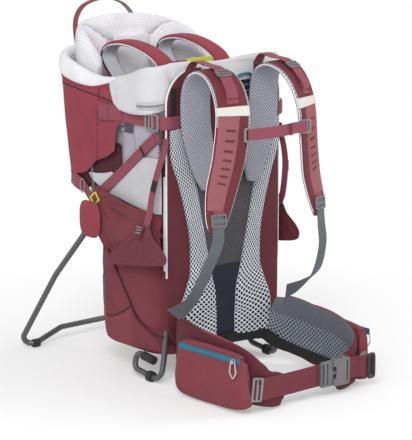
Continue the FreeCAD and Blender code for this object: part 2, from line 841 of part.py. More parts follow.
def make_sternum_strap():
    """A strap across the chest: a hook frame on the right pad, a ladder lock on the left."""
    height = 528
    thickness = size("webbing_thickness")
    width = size("webbing_width") - 2
    face = -163.15
    hook_end, lock_end = -70.2, 64.7
    corner = Vector(hook_end, face - thickness / 2, height - width / 2)
    strap = Part.makeBox(lock_end - hook_end, thickness, width, corner)
    node(solid("sternum", strap), "sternum_strap")
    hook = lock_body("sternum_ring", "20", "15", "Sizes.lock_thickness", bars=2)
    turned(hook, Vector(-78, face, height), along_z * -1, along_x)
    node(alone("hook_seat", hook), "sternum_hook")
    lock = lock_body("sternum_lock_frame", "20", "24", "Sizes.lock_thickness")
    turned(lock, Vector(77, face, height), along_z * -1, along_x)
    node(alone("sternum_lock_seat", lock), "sternum_lock")


def make_strap_locks():
    """Ladder locks at the pads' lower ends, and the webbing from there to the belt."""
    lock = lock_body("strap_lock", "Sizes.webbing_width", "26", "3.2")
    middle, across, upward, outward = limb_frame(12)
    place = middle + outward * (pad_thickness / 2 + 2.2) - upward * 6
    turned(lock, place, across, upward)
    node(both_sides("strap_lock_pair", lock), "strap_locks")
    start = place - upward * 13.35
    run = [(start, size("webbing_width"), across), (start - upward * 30, size("webbing_width"), across),
           (Vector(152, -134, 270), size("webbing_width"), across),
           (Vector(162, -104, 206), size("webbing_width")), (Vector(158, -56, 166), size("webbing_width")),
           (Vector(150, -24, 149.2), size("webbing_width"))]
    webbing = ribbon(run, size("webbing_thickness"), steps=2)
    node(both_sides("strap_webbing_pair", solid("strap_web", webbing)), "strap_webbing")


# ---------------------------------------------------------------- storage bag and cockpit

def make_bag():
    half = size("bag_half_width")
    front = size("upright_y") + size("tube_diameter") / 2 + 2 * size("fit_gap")
    rear = size("bag_rear")
    low = size("bag_bottom")
    edge = size("bag_edge")
    corner = size("bag_corner")
    front_corner = size("bag_front_corner")
    rings = [
        (half - edge, front + 4, rear - edge - 6, corner, low, front_corner),
        (half - 7, front, rear - 12, corner, low + edge * 0.35, front_corner),
        (half - 3, front, rear - 8, corner, low + edge, front_corner),
        (half, front, rear, corner, 220, front_corner),
        (half, front, rear - 12, corner, size("bag_top"), front_corner),
    ]
    node(solid("bag", plan_loft(rings)), "storage_bag")


def u_shell(rings, wall):
    """A wall of even thickness round the sides and the rear, open in front and above."""
    outer = plan_loft(rings)
    inner = plan_loft([(w - wall, f - wall, r - wall, c - wall, z) for w, f, r, c, z in rings])
    return outer.cut(inner)


def make_cockpit():
    """The child's seat: an outer shell, a padded lining inside it and a collar on top."""
    half = size("shell_half_width")
    front = size("shell_front")
    rear = size("shell_rear")
    top = size("shell_top")
    corner = size("shell_corner")
    taper = size("shell_taper")
    lining_front = size("lining_front")
    shell_rings = [
        (half - taper, lining_front, rear - 4 * taper, corner, size("shell_bottom")),
        (half, lining_front, rear, corner, top),
    ]
    # The side walls reach forward below the collar and are cut away above the hinge.
    side = [(rear + corner, top + 1), (front + 2, top + 1), (front + 2, 547), (112, 544), (106, 520),
            (110, 470), (128, 440), (196, 396), (204, 370), (rear + corner, 370)]
    cutter = Part.Face(Part.makePolygon([Vector(-2 * half, y, z) for y, z in side + side[:1]]))
    walls = u_shell(shell_rings, size("shell_wall")).common(cutter.extrude(Vector(4 * half, 0, 0)))
    node(solid("shell", walls), "cockpit_shell")
    inset = size("shell_wall") + size("lining_gap")
    lining_half = half - inset
    base = size("bag_top") + size("fit_gap")
    lining_corner = corner - size("lining_gap")
    step = size("lining_front_top")
    low = [
        (lining_half - 12, lining_front, rear - 72, lining_corner, base),
        (lining_half, lining_front, rear - inset, lining_corner, step),
    ]
    high = [
        (lining_half, front + 4, rear - inset, lining_corner, step),
        (lining_half, front + 4, rear - inset, lining_corner, top),
    ]
    wall = size("lining_wall")
    lining = u_shell(low, wall).fuse(u_shell(high, wall)).removeSplitter()
    # A notch in each side wall's upper edge leaves room for the child's elbow.
    notch = [Vector(-2 * half, y, z) for y, z in ((93, step + 20), (93, 502), (139, 502), (139, step + 20))]
    elbow = Part.Face(rounded_polygon(notch, 12)).extrude(Vector(4 * half, 0, 0))
    lining = lining.cut(elbow)
    node(solid("lining", lining), "cockpit_lining")
    outer = half + size("collar_overhang") - size("collar_wall") / 2
    reach = rear + size("collar_overhang") - size("collar_wall") / 2
    rim = top + 1.5
    heights = [(outer, front + 4, 14), (outer, front + 60, 27), (outer, reach - corner, 46),
               (outer - 0.3 * corner, reach - 0.3 * corner, 56), (outer - corner, reach, 62), (0, reach, 64)]
    left = [(Vector(x, y, rim + height / 2), height) for x, y, height in heights]
    right = [(Vector(-point.x, point.y, point.z), height) for point, height in reversed(left[:-1])]
    collar = ribbon(left + right, size("collar_wall"), along_z, steps=2)
    node(solid("collar_pad", collar), "cockpit_collar")


def make_hoop():
    """The upper frame rod: up from each bracket and round the back, inside the shell."""
    radius = size("hoop_diameter") / 2
    inset = size("shell_wall") + size("hoop_slack") + radius
    x = size("shell_half_width") - inset
    height = size("shell_top") - 12
    boss = size("boss_diameter") / 2
    foot = Vector(x, bracket_front() + boss, size("hinge_z") + boss + 3)
    points = [foot, Vector(x, foot.y + 40, height), Vector(x, size("shell_rear") - inset, height)]
    radii = [30, size("shell_corner") - inset]
    hoop = tube("hoop_rod", points + mirror_points(points), radii + radii[::-1], "hoop_diameter")
    node(hoop, "cockpit_hoop")


def make_headrest():
    """A curved pad across the rear of the cockpit with lower wings at its sides."""
    thickness = size("headrest_thickness")
    collar_inset = size("collar_overhang") - size("collar_wall") - thickness / 2
    rear = size("shell_rear") + collar_inset - size("fit_gap")
    base = size("shell_top") + 12
    top = size("headrest_top")
    side = size("shell_half_width") + collar_inset - 9
    half = [(0, rear, top - base), (0.36 * side, rear - 2, top - base - 5),
            (0.64 * side, rear - 12, top - base - 24), (0.87 * side, rear - 38, 76),
            (side - 2, rear - 76, 52), (side, rear - 112, 30)]
    left = [(Vector(x, y, base + h / 2), h) for x, y, h in half]
    right = [(Vector(-point.x, point.y, point.z), h) for point, h in reversed(left[1:])]
    pad = ribbon(right + left, thickness, along_z, steps=2)
    node(solid("headrest_pad", pad), "headrest")


def make_chin_pad():
    """A padded collar across the front whose arms lie along the cockpit's sides."""
    x = size("shell_half_width") - 7
    end = Vector(x, size("shell_front") - 6, 590)
    side = [(end, 24), (Vector(x, 130, 584), 58), (Vector(x, 80, 587), 76),
            (Vector(x - 2, 40, 600), 84), (Vector(x - 20, 19, 612), 78), (Vector(x - 52, 12.9, 624), 60),
            (Vector(70, 12.9, 626), 50), (Vector(0, 12.9, 624), 46)]
    other = [(Vector(-point.x, point.y, point.z), width) for point, width in side[:-1]]
    node(solid("collar", ribbon(side + other[::-1], 15, along_z)), "chin_pad")


def make_seat_pad():
    gap = size("fit_gap")
    base = size("bag_top") + gap
    half = size("shell_half_width") - size("shell_wall") - size("lining_gap") - size("lining_wall") - 16
    block = Part.makeBox(2 * half, 200, size("seat_thickness"), Vector(-half, 40, base))
    cushion = block.makeFillet(6, block.Edges)
    node(solid("seat", cushion), "seat_pad")


def make_child_harness():
    """Padded arches from the headrest over the child's shoulders to the chest clip."""
    line = [(290.1, 612), (285.6, 638), (262, 659), (212, 668), (156, 662), (108, 646), (84, 622), (76, 590)]
    strap = ribbon([(Vector(74, y, z), 40) for y, z in line], 12)
    clip_edge = 33.6
    sewn = [(Vector(clip_edge, 74, 636), 16), (Vector(58, 94, 634), 16)]
    tab = ribbon(sewn, size("webbing_thickness"), along_z)
    node(both_sides("child_strap_pair", solid("child_strap", strap.fuse(tab))), "child_harness")
    body = doc.addObject("PartDesign::Body", "chest_clip")
    outline = new_sketch(body, "chest_clip_outline", "XZ_Plane")
    rectangle(outline, "66", "20")
    block = pad(body, outline, "8")
    fillet(body, block, along_y, "6")
    body.Placement = Placement(Vector(0, 74, 636), Rotation())
    node(alone("chest_clip_seat", body), "child_buckle")


def make_grab_handle():
    """A webbing handle on edge, sewn to the rear of the shell at both ends."""
    width = 13
    y = size("shell_rear") + size("collar_overhang") + width / 2 + 4
    half = [(Vector(80, y, 560), width), (Vector(80, y, 625), width), (Vector(75, y + 14, 684), width),
            (Vector(48, y + 30, 726), width), (Vector(0, y + 35, 737), width)]
    other = [(Vector(-point.x, point.y, point.z), across) for point, across in half[:-1]]
    node(solid("handle", ribbon(half + other[::-1], 4, along_y, steps=2)), "grab_handle")


# ---------------------------------------------------------------- side webbing and stirrups

def make_side_straps():
    """Straps from the shell to the back board that draw the cockpit in, and their locks."""
    thickness = size("webbing_thickness")
    gap = size("fit_gap")
    width = size("webbing_width") - 3
    lining_side = size("shell_half_width") - size("shell_wall") - size("lining_gap")
    frame_side = size("upright_x") + size("tube_diameter") / 2
    x = max(lining_side, frame_side + 10) + thickness / 2 + gap
    height = size("side_strap_height")
    face = -thickness / 2 - gap
    edge = size("panel_width") / 2
    line = [(x, size("shell_front") - 4), (x, 10), (edge + 2, face), (edge - 20, face)]
    strap = ribbon([(Vector(*point, height), width) for point in line], thickness, along_z)
    node(both_sides("side_strap_pair", solid("side_strap", strap)), "side_straps")
    lock = lock_body("side_lock", "22", "26", "Sizes.lock_thickness")
    lock_out = (thickness + size("lock_thickness")) / 2 + gap
    turned(lock, Vector(x + lock_out, 36, height), along_z * -1, along_y)
    node(both_sides("side_lock_pair", lock), "side_strap_locks")
    # The leg strap lies on the lining, which slants inward below, and runs out to its hook.
    leg_x = x - 1.5
    slant = [(x + 8.4, 196, 367), (leg_x + 3, 170, 388), (leg_x, 130, 420), (leg_x, 14, height - 27)]
    diagonal = ribbon([(Vector(*point), width) for point in slant], thickness, Vector(0, 0.6, 0.8))
    node(both_sides("leg_strap_pair", solid("leg_strap", diagonal)), "leg_straps")
    hook = lock_body("leg_hook_frame", "14", "26", "5", bars=2)
    turned(hook, Vector(x + 12, 203, 356), Vector(0, 0.6, 0.8), Vector(0, -0.8, 0.6))
    node(both_sides("leg_hook_pair", hook), "leg_hooks")
    panel_x = leg_x - thickness / 2 - gap
    edge = [(200, 380), (190, 362), (40, 350), (8, 356), (8, 448), (40, 452)]
    outline = [Vector(panel_x, y, z) for y, z in edge]
    panel = Part.Face(Part.makePolygon(outline + outline[:1])).extrude(Vector(-thickness, 0, 0))
    node(both_sides("side_panel_pair", solid("side_panel", panel)), "side_panels")


def make_stirrups():
    """Foot loops on webbing that hang beside the bag from a tab below the side strap."""
    thickness = 2.4
    x = size("rail_x") + (size("tube_diameter") + thickness) / 2 + 0.4
    board_edge = size("panel_width") / 2 + thickness / 2 + size("fit_gap")
    hanger = [(board_edge, -1, 506), (board_edge + 2, 0, 484), (x - 4, 8, 440), (x, 20, 400), (x, 38, 356),
              (x, 48, 312)]
    strap = ribbon([(Vector(*point), 20) for point in hanger], thickness, along_y)
    corners = [Vector(x, 48, 330), Vector(x, -42, 242), Vector(x, 156, 238)]
    hole = [Vector(x, 49, 302), Vector(x, -10, 256), Vector(x, 118, 252)]
    ring = Part.Face(rounded_polygon(corners, 12)).cut(Part.Face(rounded_polygon(hole, 6)))
    loop = ring.extrude(Vector(thickness, 0, 0)).translated(Vector(-thickness / 2, 0, 0))
    left = node(solid("stirrup", strap.fuse(loop).removeSplitter()), "stirrup_left")
    node(other_side("stirrup_mirrored", left), "stirrup_right", seated=False)


def make_haul_loop():
    """A ring of webbing on the back board between the pads."""
    face = -size("fit_gap")
    lift = 9
    outside = [(22, 622), (70, 622), (74, 560), (40, 540)]
    hole = [(31, 614), (61, 614), (64, 569), (43, 555)]
    outer = rounded_polygon([Vector(x, face, z) for x, z in outside], 14)
    inner = rounded_polygon([Vector(x, face, z) for x, z in hole], 6)
    ring = Part.Face(outer).cut(Part.Face(inner))
    node(solid("haul", ring.extrude(Vector(0, -lift, 0))), "haul_loop")


def make_height_ladders():
    rail = Part.makeBox(16, 2, 58, Vector(size("panel_width") / 2 - 38, -2.4, 549))
    node(both_sides("ladder_pair", solid("ladder", rail)), "height_ladders")


def make_hinge_flaps():
    """Fabric covers with round corners over the outer face of each hinge."""
    half = size("boss_width") / 2 + size("cheek_gap") + size("cheek_thickness") + size("pin_head_thickness")
    x = size("rail_x") + half + size("fit_gap")
    length = size("flap_length")
    height = size("flap_height")
    y = size("hinge_y") - 48
    z = size("hinge_z") - 30
    outline = [Vector(x, y, z), Vector(x, y + length, z), Vector(x, y + length - 8, z + height),
               Vector(x, y, z + height)]
    cover = Part.Face(rounded_polygon(outline, 14)).extrude(Vector(size("flap_thickness"), 0, 0))
    node(both_sides("flap_pair", solid("flap", cover)), "hinge_flaps")


def make_bag_zip():
    x = size("bag_half_width") - 52
    rear = size("bag_rear")
    tape = Part.makeBox(8, 1.2, 118, Vector(x, rear + 0.3, 205 - 59))
    node(both_sides("bag_zip_pair", solid("bag_tape", tape)), "bag_zip")


# ---------------------------------------------------------------- build and write

def check_and_write():
    doc.recompute()
    failed = [item.Name for item in doc.Objects if {"Invalid", "Error"} & set(item.State)]
    if failed:
        raise RuntimeError("features that failed: " + ", ".join(failed))
    labels = [item.Label for item in nodes]
    if len(set(labels)) != len(labels):
        raise RuntimeError("two sub-parts share a name")
    for item in nodes:
        if item.Shape.isNull() or not item.Shape.isValid() or not item.Shape.Solids:
            raise RuntimeError("no valid solid in " + item.Label)
    os.makedirs("parts", exist_ok=True)
    for item in nodes:
        item.Shape.exportStep(f"parts/{item.Label}.step")
        box = item.Shape.BoundBox
        pairs = ((box.XMin, box.XMax), (box.YMin, box.YMax), (box.ZMin, box.ZMax))
        spans = ", ".join(f"{low:.1f} to {high:.1f}" for low, high in pairs)
        volume = item.Shape.Volume / 1000
        print(f"{item.Label:22s} {len(item.Shape.Solids)} solids, {volume:.1f} cm3, {spans}")


main_frame, hoop = make_frame()
make_frame_ends(hoop)
make_skid_feet(hoop)
make_kickstand()
make_brackets()
make_pins()
make_hinge_flaps()
make_back_board()
make_back_meshes()
make_wings()
make_pockets()
make_zip_sliders()
make_belt_webbing()
make_socket(-size("buckle_depth"))
make_plug(-size("buckle_depth"))
make_prongs(-size("buckle_depth"))
make_triglides()
make_shoulder_pads()
make_load_lifters()
make_sternum_strap()
make_strap_locks()
make_bag()
make_cockpit()
make_hoop()
make_headrest()
make_chin_pad()
make_seat_pad()
make_child_harness()
make_grab_handle()
make_side_straps()
make_stirrups()
make_haul_loop()
make_height_ladders()
make_bag_zip()
check_and_write()
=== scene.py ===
import math

import bmesh
import bpy
import numpy as np
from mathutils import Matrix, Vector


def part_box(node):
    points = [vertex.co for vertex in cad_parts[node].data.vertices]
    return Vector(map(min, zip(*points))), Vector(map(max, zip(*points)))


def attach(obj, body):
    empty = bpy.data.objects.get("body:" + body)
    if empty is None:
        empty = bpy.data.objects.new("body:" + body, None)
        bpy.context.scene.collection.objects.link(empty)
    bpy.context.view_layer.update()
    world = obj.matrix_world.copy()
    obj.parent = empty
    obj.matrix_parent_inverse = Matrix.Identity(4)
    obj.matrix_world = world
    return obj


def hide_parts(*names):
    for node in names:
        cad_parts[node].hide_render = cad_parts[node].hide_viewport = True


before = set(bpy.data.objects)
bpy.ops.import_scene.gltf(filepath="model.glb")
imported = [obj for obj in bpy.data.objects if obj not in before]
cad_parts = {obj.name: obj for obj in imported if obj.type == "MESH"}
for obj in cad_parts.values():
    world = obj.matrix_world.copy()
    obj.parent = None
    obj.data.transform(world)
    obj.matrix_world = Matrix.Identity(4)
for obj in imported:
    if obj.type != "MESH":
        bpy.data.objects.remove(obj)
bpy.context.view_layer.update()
print("frame loaded:", len(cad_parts), "nodes")

# Every piece is placed in millimetres from the middle of the back board's front face:
# +X is the wearer's left, +Y away from the wearer, and heights start at the floor.
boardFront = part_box("back_board")[0][1]


def place(millimetres):
    # Millimetres from the board's front face, to metres in the frame.
    return np.asarray(millimetres, float) / 1000 + np.array([0.0, boardFront, 0.0])


def points(x, y, z):
    # Rows of points from three coordinates, any of which may be one number for all.
    return np.stack(np.broadcast_arrays(x, y, z), -1)


def unit(vectors):
    # Directions of length 1.
    return vectors / np.maximum(np.linalg.norm(vectors, axis=-1, keepdims=True), 1e-9)


def smoothPath(stations, count):
    # Catmull-Rom curve through rows of numbers, read at even steps of its parameter.
    rows = np.asarray(stations, float)
    rows = np.vstack([2 * rows[0] - rows[1], rows, 2 * rows[-1] - rows[-2]])
    t = np.linspace(0, len(stations) - 1, count)
    i = np.minimum(t.astype(int), len(stations) - 2)
    f = (t - i)[:, None]
    a, b, c, d = rows[i], rows[i + 1], rows[i + 2], rows[i + 3]
    return 0.5 * (2 * b + (c - a) * f + (2 * a - 5 * b + 4 * c - d) * f**2 + (3 * b - a - 3 * c + d) * f**3)


def readAt(value, rows):
    # A table of (place, measure) rows read at a value, in straight lines between its rows.
    return np.interp(value, *np.array(rows).T)


def softened(values, span):
    # Running mean over an odd span, with the end values held.
    return np.convolve(np.pad(values, span // 2, mode="edge"), np.ones(span) / span, mode="valid")


def hump(distance, width):
    # A smooth hump: 1 at distance 0, fading out over the width as a Gaussian.
    return np.exp(-(distance / width) ** 2)


def ramp(value, start, reach, low=0.0):
    # Rises straight from 0 to 1 over a reach that begins at start, but never lies under low; with a
    # negative reach it rises backwards.
    return np.clip((value - start) / reach, low, 1)


def fromEnds(share, rate, low=0.0):
    # Rises from both ends of a share of 0 to 1, at a rate, up to 1.
    return np.clip(np.minimum(share, 1 - share) * rate + low, 0, 1)


def ripple(folds, u, v):
    # Soft folds, about -1 to 1: sine waves in random directions over two parameters, in octaves of
    # doubled rate and smaller height. Folds are (seed, rate of the first octave, octaves).
    seed, scale, octaves = folds
    rng = np.random.default_rng(seed)
    total = np.zeros(np.broadcast(u, v).shape)
    for octave in range(octaves):
        for _ in range(4):
            angle, phase = rng.uniform(0, 2 * math.pi, 2)
            rate = scale * 2**octave * rng.uniform(0.7, 1.3)
            total += np.sin(rate * (u * math.cos(angle) + v * math.sin(angle)) + phase) / (3.0 * 1.8**octave)
    return total


def gridMesh(name, grid, wrapAcross=False, wrapAlong=False, caps=False, faceMaterial=None):
    # A surface from an array of points (along, across, xyz) in metres, with cloth lengths as its UV.
    along, across = grid.shape[:2]
    i = np.arange(along if wrapAlong else along - 1)
    j = np.arange(across if wrapAcross else across - 1)
    ii, jj = np.meshgrid(i, j, indexing="ij")
    corner = [(0, 0), (1, 0), (1, 1), (0, 1)]
    index = [((ii + di) % along) * across + (jj + dj) % across for di, dj in corner]
    faces = np.stack(index, -1).reshape(-1, 4)
    stepU = np.linalg.norm(np.diff(grid, axis=0, append=grid[:1]), axis=-1).mean(axis=1)
    stepV = np.linalg.norm(np.diff(grid, axis=1, append=grid[:, :1]), axis=-1).mean(axis=0)
    lengthU = np.concatenate([[0], np.cumsum(stepU)])
    lengthV = np.concatenate([[0], np.cumsum(stepV)])
    uv = np.stack([np.stack([lengthU[ii + di], lengthV[jj + dj]], -1) for di, dj in corner], 2).reshape(-1, 2)
    polygons = faces.tolist()
    if caps:
        start = np.arange(across)
        polygons += [start.tolist(), ((along - 1) * across + start[::-1]).tolist()]
        flat = np.concatenate([grid[0], grid[-1][::-1]])
        uv = np.vstack([uv, flat[:, [0, 2]]])
    mesh = bpy.data.meshes.new(name)
    mesh.from_pydata(grid.reshape(-1, 3).tolist(), [], polygons)
    layer = mesh.uv_layers.new(name="cloth")
    layer.data.foreach_set("uv", uv.astype(np.float32).ravel())
    if faceMaterial is not None:
        rows = np.broadcast_to(faceMaterial(ii, jj), ii.shape).ravel().astype(np.int32)
        extra = np.zeros(2 if caps else 0, np.int32)
        mesh.polygons.foreach_set("material_index", np.concatenate([rows, extra]))
    mesh.shade_smooth()
    mesh.set_sharp_from_angle(angle=math.radians(48))
    mesh.update()
    piece = bpy.data.objects.new(name, mesh)
    bpy.context.scene.collection.objects.link(piece)
    return piece


def outwards(piece):
    # Turns every face of a closed piece to point outwards.
    shape = bmesh.new()
    shape.from_mesh(piece.data)
    bmesh.ops.recalc_face_normals(shape, faces=shape.faces)
    shape.to_mesh(piece.data)
    shape.free()
    return piece


def carry(path, across, section, width=1.0, height=1.0):
    # Carries a section along a path: its first column lies across it and its second points outwards.
    heading = unit(np.gradient(path, axis=0))
    across = np.broadcast_to(np.asarray(across, float), path.shape)
    side = unit(across - (across * heading).sum(1, keepdims=True) * heading)
    out = np.cross(heading, side)
    wide = np.broadcast_to(width, len(path))[:, None, None]
    high = np.broadcast_to(height, len(path))[:, None, None]
    sections = np.broadcast_to(section, (len(path),) + np.shape(section)[-2:])
    return (path[:, None] + side[:, None] * sections[..., 0:1] * wide
            + out[:, None] * sections[..., 1:2] * high)


def sized(section, wide, high):
    # One section per row of a path, its two columns stretched by that row's width and height.
    return np.stack(np.broadcast_arrays(section[:, 0] * wide, section[:, 1] * high), -1)


def pillow(count, square):
    # A rounded section of half-width and half-height 1: a superellipse, run round once.
    angle = np.linspace(0, 2 * math.pi, count, endpoint=False)
    c, s = np.cos(angle), np.sin(angle)
    return np.stack([np.sign(c) * np.abs(c) ** (2 / square), np.sign(s) * np.abs(s) ** (2 / square)], -1)


def faceMiddle(column):
    # The value in the middle of each face round a section.
    return (column + np.roll(column, -1)) / 2


def roll(name, grid, faceMaterial=None):
    # A closed piece from rings of points in millimetres, capped at both ends.
    return outwards(gridMesh(name, place(grid), wrapAcross=True, caps=True, faceMaterial=faceMaterial))


def sheet(name, grid, wall, offset=0.0, **options):
    # A cloth from rows of points, with a wall; all in millimetres.
    piece = gridMesh(name, place(grid), **options)
    thick = piece.modifiers.new("wall", "SOLIDIFY")
    thick.thickness = wall / 1000
    thick.offset = offset
    return piece


def tubeAlong(name, path, radius, sides=10, closed=False):
    # A round cord along a path, whose guide turns as little as it can; all in millimetres.
    path, radius = place(path), radius / 1000
    heading = unit(np.gradient(path, axis=0))
    if closed:
        heading = unit(np.roll(path, -1, 0) - np.roll(path, 1, 0))
    guide = np.where(np.abs(heading[:, 2:3]) > 0.8, np.array([[1.0, 0, 0]]), np.array([[0, 0, 1.0]]))
    side = unit(np.cross(heading, guide))
    for i in range(1, len(side)):
        turned = side[i - 1] - heading[i] * side[i - 1].dot(heading[i])
        side[i] = turned / np.linalg.norm(turned)
    out = np.cross(heading, side)
    angle = np.linspace(0, 2 * math.pi, sides, endpoint=False)[None, :, None]
    grid = path[:, None] + radius * (side[:, None] * np.cos(angle) + out[:, None] * np.sin(angle))
    return gridMesh(name, grid, wrapAcross=True, wrapAlong=closed, caps=not closed)


def joined(name, pieces):
    # Joins pieces into one object that keeps their materials.
    with bpy.context.temp_override(active_object=pieces[0], selected_editable_objects=pieces):
        bpy.ops.object.join()
    pieces[0].name = name
    pieces[0].data.name = name
    return pieces[0]


def mirrored(piece, name):
    # The same piece on the carrier's other side, with its faces turned back outwards.
    copy = piece.copy()
    copy.data = piece.data.copy()
    copy.name = copy.data.name = name
    bpy.context.scene.collection.objects.link(copy)
    coordinates = np.empty(len(copy.data.vertices) * 3, np.float32)
    copy.data.vertices.foreach_get("co", coordinates)
    coordinates[0::3] *= -1
    copy.data.vertices.foreach_set("co", coordinates)
    copy.data.flip_normals()
    return copy


def dress(piece, body, *materials, stands=(), slot=None, fill=None):
    # Gives a finished piece its materials, its body and the solids that it stands for.
    for material in materials:
        piece.data.materials.append(material)
    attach(piece, body)
    if stands:
        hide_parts(*stands)
    return piece


def dressPair(left, *materials, body="carrier", stands=(), **options):
    # Dresses a left piece, and its mirror with the right side's body and solids.
    dress(left, body, *materials, stands=stands, **options)
    right = mirrored(left, left.name.replace("left", "right"))
    matching = [name.replace("left", "right") for name in stands if "left" in name]
    dress(right, body.replace("left", "right"), stands=matching, **options)


def paint(r, g, b):
    # A display colour of 0 to 255 as the linear colour that a shader takes.
    share = np.array([r, g, b]) / 255
    linear = np.where(share <= 0.04045, share / 12.92, ((share + 0.055) / 1.055) ** 2.4)
    return (*(float(value) for value in linear), 1.0)


def addNode(tree, kind, settings=None, **sockets):
    # Adds a shader node, sets its properties and feeds its sockets with values or outputs.
    new = tree.nodes.new("ShaderNode" + kind)
    for key, value in (settings or {}).items():
        setattr(new, key, value)
    for key, value in sockets.items():
        feed(tree, new.inputs[key], value)
    return new


def feed(tree, socket, value):
    # Links an output to a socket, or writes a plain value into it.
    if isinstance(value, bpy.types.NodeSocket):
        tree.links.new(value, socket)
    else:
        socket.default_value = value


def feedAll(tree, node, *values):
    # Feeds a node's first sockets in order.
    for index, value in enumerate(values):
        feed(tree, node.inputs[index], value)


def maths(tree, operation, *values):
    # The result of one maths node on plain values or outputs.
    new = addNode(tree, "Math", {"operation": operation})
    feedAll(tree, new, *values)
    return new.outputs[0]


def blendColours(tree, factor, first, second):
    # The first colour at factor 0 and the second at 1.
    new = addNode(tree, "Mix", {"data_type": "RGBA"})
    for index, value in ((0, factor), (6, first), (7, second)):
        feed(tree, new.inputs[index], value)
    return new.outputs[2]


def spread(tree, value, low, high, start=0.0, end=1.0, kind="LINEAR"):
    # Maps low to high onto start to end, and holds what lies outside.
    new = addNode(tree, "MapRange", {"interpolation_type": kind})
    feedAll(tree, new, value, low, high, start, end)
    return new.outputs[0]


def bumped(tree, height, distance, strength=1.0, normal=None):
    # A bump normal from a height field, on top of another normal where one is given.
    new = addNode(tree, "Bump", Height=height, Distance=distance, Strength=strength)
    if normal is not None:
        tree.links.new(normal, new.inputs["Normal"])
    return new.outputs[0]


def newMaterial(name, roughness=0.8, metallic=0.0, sheen=0.0, gloss=0.5):
    # An empty principled material, its tree and its shader.
    material = bpy.data.materials.new(name)
    material.use_nodes = True
    tree = material.node_tree
    shader = tree.nodes["Principled BSDF"]
    values = {"Roughness": roughness, "Metallic": metallic, "Specular IOR Level": gloss,
              "Sheen Weight": sheen, "Sheen Roughness": 0.5}
    for key, value in values.items():
        shader.inputs[key].default_value = value
    return material, tree, shader


def clothCoordinates(tree):
    # Lengths along and across the piece's own cloth, in metres.
    return addNode(tree, "UVMap", {"uv_map": "cloth"}).outputs[0]


def objectCoordinates(tree):
    # Places in the piece's own space, in metres.
    return addNode(tree, "TexCoord").outputs["Object"]


def cloudy(tree, scale, detail=3.0, roughness=0.55):
    # Slow noise through the solid, 0 to 1.
    return addNode(tree, "TexNoise", Vector=objectCoordinates(tree), Scale=scale, Detail=detail,
                   Roughness=roughness).outputs["Fac"]


def threads(tree, pitch, axis):
    # A sine along one axis of the cloth, from -1 to 1, with the given pitch in metres.
    split = addNode(tree, "SeparateXYZ", Vector=clothCoordinates(tree)).outputs
    return maths(tree, "SINE", maths(tree, "MULTIPLY", split[axis], 2 * math.pi / pitch))


def darker(colour, share):
    # The colour with each channel times a share.
    return tuple(value * share for value in colour[:3]) + (1.0,)


def drifting(tree, colour, share, scale, detail=3.0):
    # A colour that fades to a darker shade of itself where slow noise is low, and that noise.
    drift = spread(tree, cloudy(tree, scale, detail), 0.3, 0.7)
    return blendColours(tree, drift, darker(colour, share), colour), drift


def wovenFabric(name, colour, folds=0.0012, shade=0.86, thread=0.0007):
    # Plain woven pack cloth: fine threads, soft creases, and a shade that drifts a little.
    material, tree, shader = newMaterial(name, 0.78, sheen=0.04, gloss=0.22)
    tone = drifting(tree, paint(*colour), shade, 22, 5.0)[0]
    crossed = maths(tree, "MULTIPLY", threads(tree, thread, 0), threads(tree, thread, 1))
    weave = maths(tree, "MULTIPLY_ADD", crossed, 0.5, 0.5)
    tone = blendColours(tree, maths(tree, "MULTIPLY", weave, 0.16), tone, (0.02, 0.02, 0.02, 1.0))
    feed(tree, shader.inputs["Base Color"], tone)
    creases = bumped(tree, cloudy(tree, 34, 4.0, 0.5), folds)
    feed(tree, shader.inputs["Normal"], bumped(tree, weave, 0.00012, 0.6, creases))
    return material


def webbing(name, colour, rib=0.0021):
    # Tubular webbing: ribs along its length, crossed by finer picks, and darker in places by slow noise.
    material, tree, shader = newMaterial(name, 0.66, sheen=0.04, gloss=0.25)
    colour = paint(*colour)
    grooveShadeAndDrift = darker(colour, 0.68)
    picks = maths(tree, "MULTIPLY", threads(tree, 0.7 * rib, 0), 0.5)
    weave = spread(tree, maths(tree, "ADD", threads(tree, rib, 1), picks), -1.5, 1.5)
    drift = spread(tree, cloudy(tree, 45), 0.3, 0.7, 0.0, 0.25)
    # Painted shade: the grooves between the ribs fade halfway to the darker colour.
    tone = blendColours(tree, maths(tree, "MULTIPLY_ADD", weave, 0.6, 0.5), grooveShadeAndDrift, colour)
    feed(tree, shader.inputs["Base Color"], blendColours(tree, drift, tone, grooveShadeAndDrift))
    feed(tree, shader.inputs["Normal"], bumped(tree, weave, 0.00035, 0.8))
    return material


def holedMesh(name, colour, hole, pitch, size, depth, edge=0.09):
    # Spacer mesh: staggered rows of holes, painted dark as shade, in a knitted face; pitch is (along,
    # across).
    material, tree, shader = newMaterial(name, 0.85, sheen=0.03, gloss=0.2)
    root = math.sqrt(2)
    turned = addNode(tree, "Mapping", Vector=clothCoordinates(tree), Rotation=(0, 0, math.pi / 4),
                     Scale=(root / pitch[0], root / pitch[1], 1.0))
    cells = addNode(tree, "TexVoronoi", {"voronoi_dimensions": "2D"}, Vector=turned.outputs[0],
                    Scale=1.0, Randomness=0.0)
    face = spread(tree, cells.outputs["Distance"], size - edge, size + edge, kind="SMOOTHSTEP")
    tone = drifting(tree, paint(*colour), 0.86, 16)[0]
    feed(tree, shader.inputs["Base Color"], blendColours(tree, face, paint(*hole), tone))
    feed(tree, shader.inputs["Normal"], bumped(tree, face, depth))
    return material


def mouldedPlastic(name, colour, roughness=0.42, grain=0.00006):
    # Moulded plastic: one drifting colour and a fine grain.
    material, tree, shader = newMaterial(name, roughness)
    feed(tree, shader.inputs["Base Color"], drifting(tree, paint(*colour), 0.85, 60)[0])
    feed(tree, shader.inputs["Normal"], bumped(tree, cloudy(tree, 1400, 2.0), grain, 0.6))
    return material


